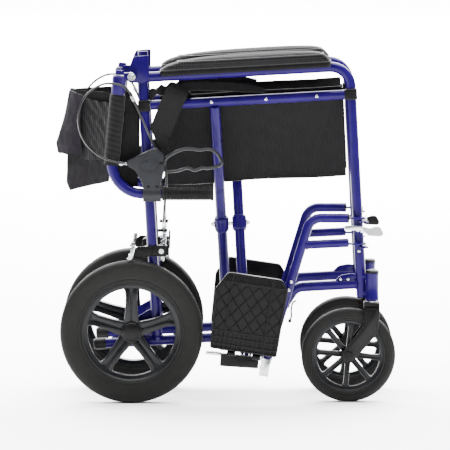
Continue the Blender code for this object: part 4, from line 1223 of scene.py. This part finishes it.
def footplates():
    """Flipped-up footplate: flat outer leaf with ribs over its underside, which faces outwards."""
    slope = radians(8.5)
    forward = Vector((cos(slope), 0, -sin(slope)))
    upward = Vector((sin(slope), 0, cos(slope)))
    hinge = Vector((0.0397, -PLATE_Y, 0.1005))
    outline = [(-0.0738, 0.0102), (0.0698, 0.0102), (0.0728, 0.1568), (0.0568, 0.1768), (-0.0578, 0.1768),
               (-0.0808, 0.138)]

    def leaf_place(a, b, depth):
        return hinge + forward * a + upward * b + ACROSS * depth
    leaf = block(rounded(outline, 0.006, 4), -0.0068, 0.0068, leaf_place, 0.0018, 3)
    recess(leaf, side_faces(leaf, 0.004), (0.0022, 0), (0.0006, -0.0042))

    def inside(a, b, direction):
        """Span of a straight line across the leaf, from its outline's sides."""
        start, end = -1.0, 1.0
        centre = Vector((-0.004, 0.09))
        for p, q in zip(outline, outline[1:] + outline[:1]):
            side = Vector((-(q[1] - p[1]), q[0] - p[0])).normalized()
            if (centre - Vector(p)).dot(side) < 0:
                side = -side
            gap = (Vector((a, b)) - Vector(p)).dot(side) - 0.003
            speed = direction.dot(side)
            if abs(speed) < 1e-6:
                if gap < 0:
                    return None
            elif speed > 0:
                start = max(start, -gap / speed)
            else:
                end = min(end, -gap / speed)
        return (start, end) if end - start > 0.006 else None
    ribs = []

    def add_rib(a, b, angle, half, low=-9.0, high=9.0, depth=0.0062):
        direction = Vector((cos(angle), sin(angle)))
        span = inside(a, b, direction)
        if not span:
            return
        start, end = span
        if abs(direction.y) > 1e-6 and low > -5:
            first, last = sorted(((low - b) / direction.y, (high - b) / direction.y))
            start, end = max(start, first), min(end, last)
        if end - start < 0.006:
            return
        normal = Vector((-direction.y, direction.x))
        corners = [Vector((a, b)) + direction * s + normal * w for s, w in
                   ((start, -half), (end, -half), (end, half), (start, half))]
        ribs.append(block([tuple(c) for c in corners], -depth, -0.002, leaf_place, 0.0005, 1))
    for k in range(-5, 7):
        add_rib(k * 0.026, 0.103, radians(52), 0.0009, 0.05, 0.156, 0.0058)
        add_rib(k * 0.026, 0.103, radians(128), 0.0009, 0.05, 0.156, 0.0058)
    for a in (-0.046, 0.04):
        add_rib(a, 0.09, radians(90), 0.0017, depth=0.0072)
    for b in (0.05, 0.036, 0.022, 0.156):
        add_rib(0.0, b, 0.0, 0.0014, depth=0.007)
    for k in range(-7, 8):
        add_rib(k * 0.01, 0.03, radians(90), 0.0007, 0.015, 0.05, 0.0052)
    for k in range(-9, 10):
        add_rib(k * 0.008, 0.166, radians(60), 0.0007, 0.156, 0.1768, 0.0052)
        add_rib(k * 0.008, 0.166, radians(120), 0.0007, 0.156, 0.1768, 0.0052)
    knuckles = [turned([(0, 0), (0.0052, 0), (0.0058, 0.0006), (0.0058, 0.0174), (0.0052, 0.018), (0, 0.018)],
                       leaf_place(a, 0.004, 0.0), forward, 28) for a in (-0.036, 0.018)]
    treads = [block(rounded(rectangle((-0.06, 0.056), (b - 0.0016, b + 0.0016)), 0.0014, 3), 0.0062, 0.0074,
                    leaf_place, 0.0005) for b in (0.03 + 0.012 * k for k in range(11))]
    pair("ribbed_footplate", together(leaf, *ribs, *knuckles, *treads), BLACK, "foot_rest", ["footplate"])


# ---------------------------------------------------------------- wheel brakes and their cables
def wheel_brakes():
    y = -PLANE_Y
    shell = block(rounded([(-0.179, 0.312), (-0.122, 0.312), (-0.122, 0.3345), (-0.162, 0.3345),
                           (-0.179, 0.329)], 0.004), y - 0.0143, y + 0.0143, side_view, 0.0022, 3)
    flange = block(rounded([(-0.1222, 0.309), (-0.1186, 0.309), (-0.1178, 0.346), (-0.1216, 0.346)], 0.001),
                   y - 0.016, y + 0.005, side_view, 0.0006)
    pair("brake_body", together(shell, flange), BLACK, "frame", ["brake_clamp"])
    bolt = hex_head(Vector((-0.135, y - 0.0143, 0.3225)), -ACROSS, 0.004, 0.0028)
    nut = hex_head(Vector((-0.133, y - 0.006, 0.311)), -UP, 0.0044, 0.01)
    pair("brake_clamp_bolts", together(bolt, nut), ZINC, "frame")
    low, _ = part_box("right_brake_shoe")
    inner = y - 0.0151
    arm = block(rounded([(-0.157, 0.313), (-0.156, 0.332), (-0.184, 0.3345), (-0.196, 0.325), (-0.195, 0.309),
                         (-0.178, 0.3085)], 0.004), inner, inner - 0.006, side_view, 0.0016, 3)
    pair("brake_arm", arm, BLACK, "shoe")
    pad_rod = bar(Vector((-0.2, inner - 0.001, 0.3145)), Vector((-0.2, low.y, 0.3145)), 0.005, 0.001)
    clip = block(rounded([(-0.208, 0.3085), (-0.1985, 0.308), (-0.196, 0.312), (-0.1905, 0.33), (-0.19, 0.3375),
                          (-0.1985, 0.3375), (-0.201, 0.318)], 0.0025),
                 low.y + 0.003, low.y + 0.011, side_view, 0.001)
    recess(clip, side_faces(clip, 0.00005), (0.0026, 0), (0.0003, -0.004))
    pair("wheel_brake_shoe", together(pad_rod, clip), ZINC, "shoe", ["brake_shoe"])


CABLE_ROUTE = [
    (-0.2118, -0.128, 0.5145), (-0.227, -0.1325, 0.516), (-0.2505, -0.135, 0.523), (-0.271, -0.136, 0.534),
    (-0.29, -0.136, 0.552), (-0.304, -0.137, 0.575), (-0.31, -0.138, 0.603), (-0.307, -0.139, 0.632),
    (-0.295, -0.139, 0.657), (-0.276, -0.14, 0.674), (-0.255, -0.14, 0.6835), (-0.234, -0.139, 0.684),
    (-0.217, -0.1355, 0.679), (-0.2045, -0.1325, 0.67), (-0.194, -0.1295, 0.6511), (-0.1825, -0.124, 0.6241),
    (-0.1704, -0.116, 0.5968), (-0.161, -0.107, 0.573), (-0.152, -0.1, 0.554), (-0.14, -0.099, 0.535),
    (-0.129, -0.0985, 0.515), (-0.1235, -0.098, 0.49), (-0.125, -0.0965, 0.46),
    (-0.128, -0.096, 0.425), (-0.13, -0.0955, 0.39), (-0.13, -0.095, 0.362), (-0.13, -0.095, 0.3345)]


def brake_cables():
    """Sheathed cable from each hand lever to its wheel brake, looping past the back's hinge."""
    path = eased(CABLE_ROUTE, 8)
    sheath = swept(path, 0.00235, 14)
    for side, shape, sign in (("right", sheath, 1), ("left", mirrored(sheath), -1)):
        made = piece(f"{side}_sheathed_cable", shape, SHEATH, None, [f"{side}_brake_cable"])
        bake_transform(made)
    x, y = -0.13, -0.095
    shapes = [turned([(0, 0), (0.003, 0), (0.0034, 0.0006), (0.0034, 0.011), (0.0026, 0.012), (0.0026, 0.016),
                      (0, 0.016)], Vector((x, y, 0.374)), UP, 24),
              hex_head(Vector((x, y, 0.37)), UP, 0.0046, 0.004)]
    coil = []
    steps = 7 * 18
    for k in range(steps + 1):
        angle = 7 * 2 * pi * k / steps
        coil.append(Vector((x + 0.0052 * cos(angle), y + 0.0052 * sin(angle), 0.337 + 0.03 * k / steps)))
    shapes.append(swept(coil, 0.001, 8))
    pair("brake_spring", together(*shapes), ZINC, "frame")
    joint = Vector(CABLE_ROUTE[14])
    along = (Vector(CABLE_ROUTE[15]) - Vector(CABLE_ROUTE[13])).normalized()
    ferrule = turned([(0.0022, 0), (0.0036, 0), (0.004, 0.0006), (0.004, 0.0104), (0.0034, 0.0112),
                      (0.0022, 0.0112)],
                     joint - along * 0.006, along, 24)
    pair("cable_ferrule", ferrule, PALE_PADDLE, "frame")
    guide = block(rounded([(-0.142, 0.364), (-0.123, 0.364), (-0.122, 0.37), (-0.142, 0.37)], 0.0015),
                  y - 0.006, y + 0.006, side_view, 0.001)
    pair("cable_guide", guide, BLACK, "frame")


cross_brace()
seat_rails()
rail_clips()
seat_sling()
seat_belt()
arm_pads()
cane_sleeve()
back_upholstery()
hangers()
latches()
footplates()
wheel_brakes()
brake_cables()


# ---------------------------------------------------------------- CAD nodes kept as they are
cad_slots = {subpart["node"]: subpart["material_slot"] for subpart in frame["record"]["subparts"]}
for name, node in frame["nodes"].items():
    node.data.materials.clear()
    node.data.materials.append(SLOTS[cad_slots[name]][0])


# ---------------------------------------------------------------- studio
def studio_floor():
    """Plain pale floor, far larger than the view."""
    material, tree, shader, place = surface("pale_studio_floor", {"Roughness": 0.9, "Specular IOR Level": 0.2})
    mottle(tree, shader, place, 1.5, "#f1f1f1", "#f4f4f4")
    shape = bmesh.new()
    bmesh.ops.create_grid(shape, x_segments=24, y_segments=24, size=60.0)
    mesh = bpy.data.meshes.new("studio_floor")
    shape.to_mesh(mesh)
    shape.free()
    mesh.materials.append(material)
    floor = bpy.data.objects.new("studio_floor", mesh)
    floor.location.z = -0.0005
    bpy.context.scene.collection.objects.link(floor)


def soft_box(name, place, aim, size, watts):
    """A rectangular soft light turned towards its aim."""
    light = bpy.data.lights.new(name, "AREA")
    light.shape = "RECTANGLE"
    light.size, light.size_y = size
    light.energy = watts
    lamp = bpy.data.objects.new(name, light)
    lamp.location = place
    lamp.rotation_euler = (Vector(aim) - Vector(place)).to_track_quat("-Z", "Y").to_euler()
    bpy.context.scene.collection.objects.link(lamp)


VIEW_WIDTH, FILM_WIDTH = 0.958, 36.0


def camera():
    """Side view from far off with a long lens, a little above level."""
    eye, aim = Vector((0.0, -9.1, 1.35)), Vector((0.0009, -0.118, 0.381))
    lens = bpy.data.cameras.new("side_view")
    lens.sensor_width = FILM_WIDTH
    lens.lens = FILM_WIDTH * (aim - eye).length / VIEW_WIDTH
    lens.clip_end = 300.0
    view = bpy.data.objects.new("side_view", lens)
    view.location = eye
    view.rotation_euler = (aim - eye).to_track_quat("-Z", "Y").to_euler()
    bpy.context.scene.collection.objects.link(view)
    bpy.context.scene.camera = view


studio_floor()
for lamp in (("key", (-1.8, -3.0, 2.6), (0, 0, 0.35), (2.2, 1.6), 50),
             ("fill", (2.8, -2.6, 1.6), (0, 0, 0.35), (2.0, 2.0), 22),
             ("overhead", (0, 0.2, 4.2), (0, 0.2, 0), (5.0, 3.6), 1100),
             ("backdrop", (0, 10.5, 5.5), (0, 11.0, 0), (16.0, 17.0), 23000)):
    soft_box(*lamp)
world = bpy.data.worlds.new("pale_room")
world.use_nodes = True
world.node_tree.nodes["Background"].inputs["Color"].default_value = linear("#f6f7f9")
world.node_tree.nodes["Background"].inputs["Strength"].default_value = 0.3
bpy.context.scene.world = world
camera()
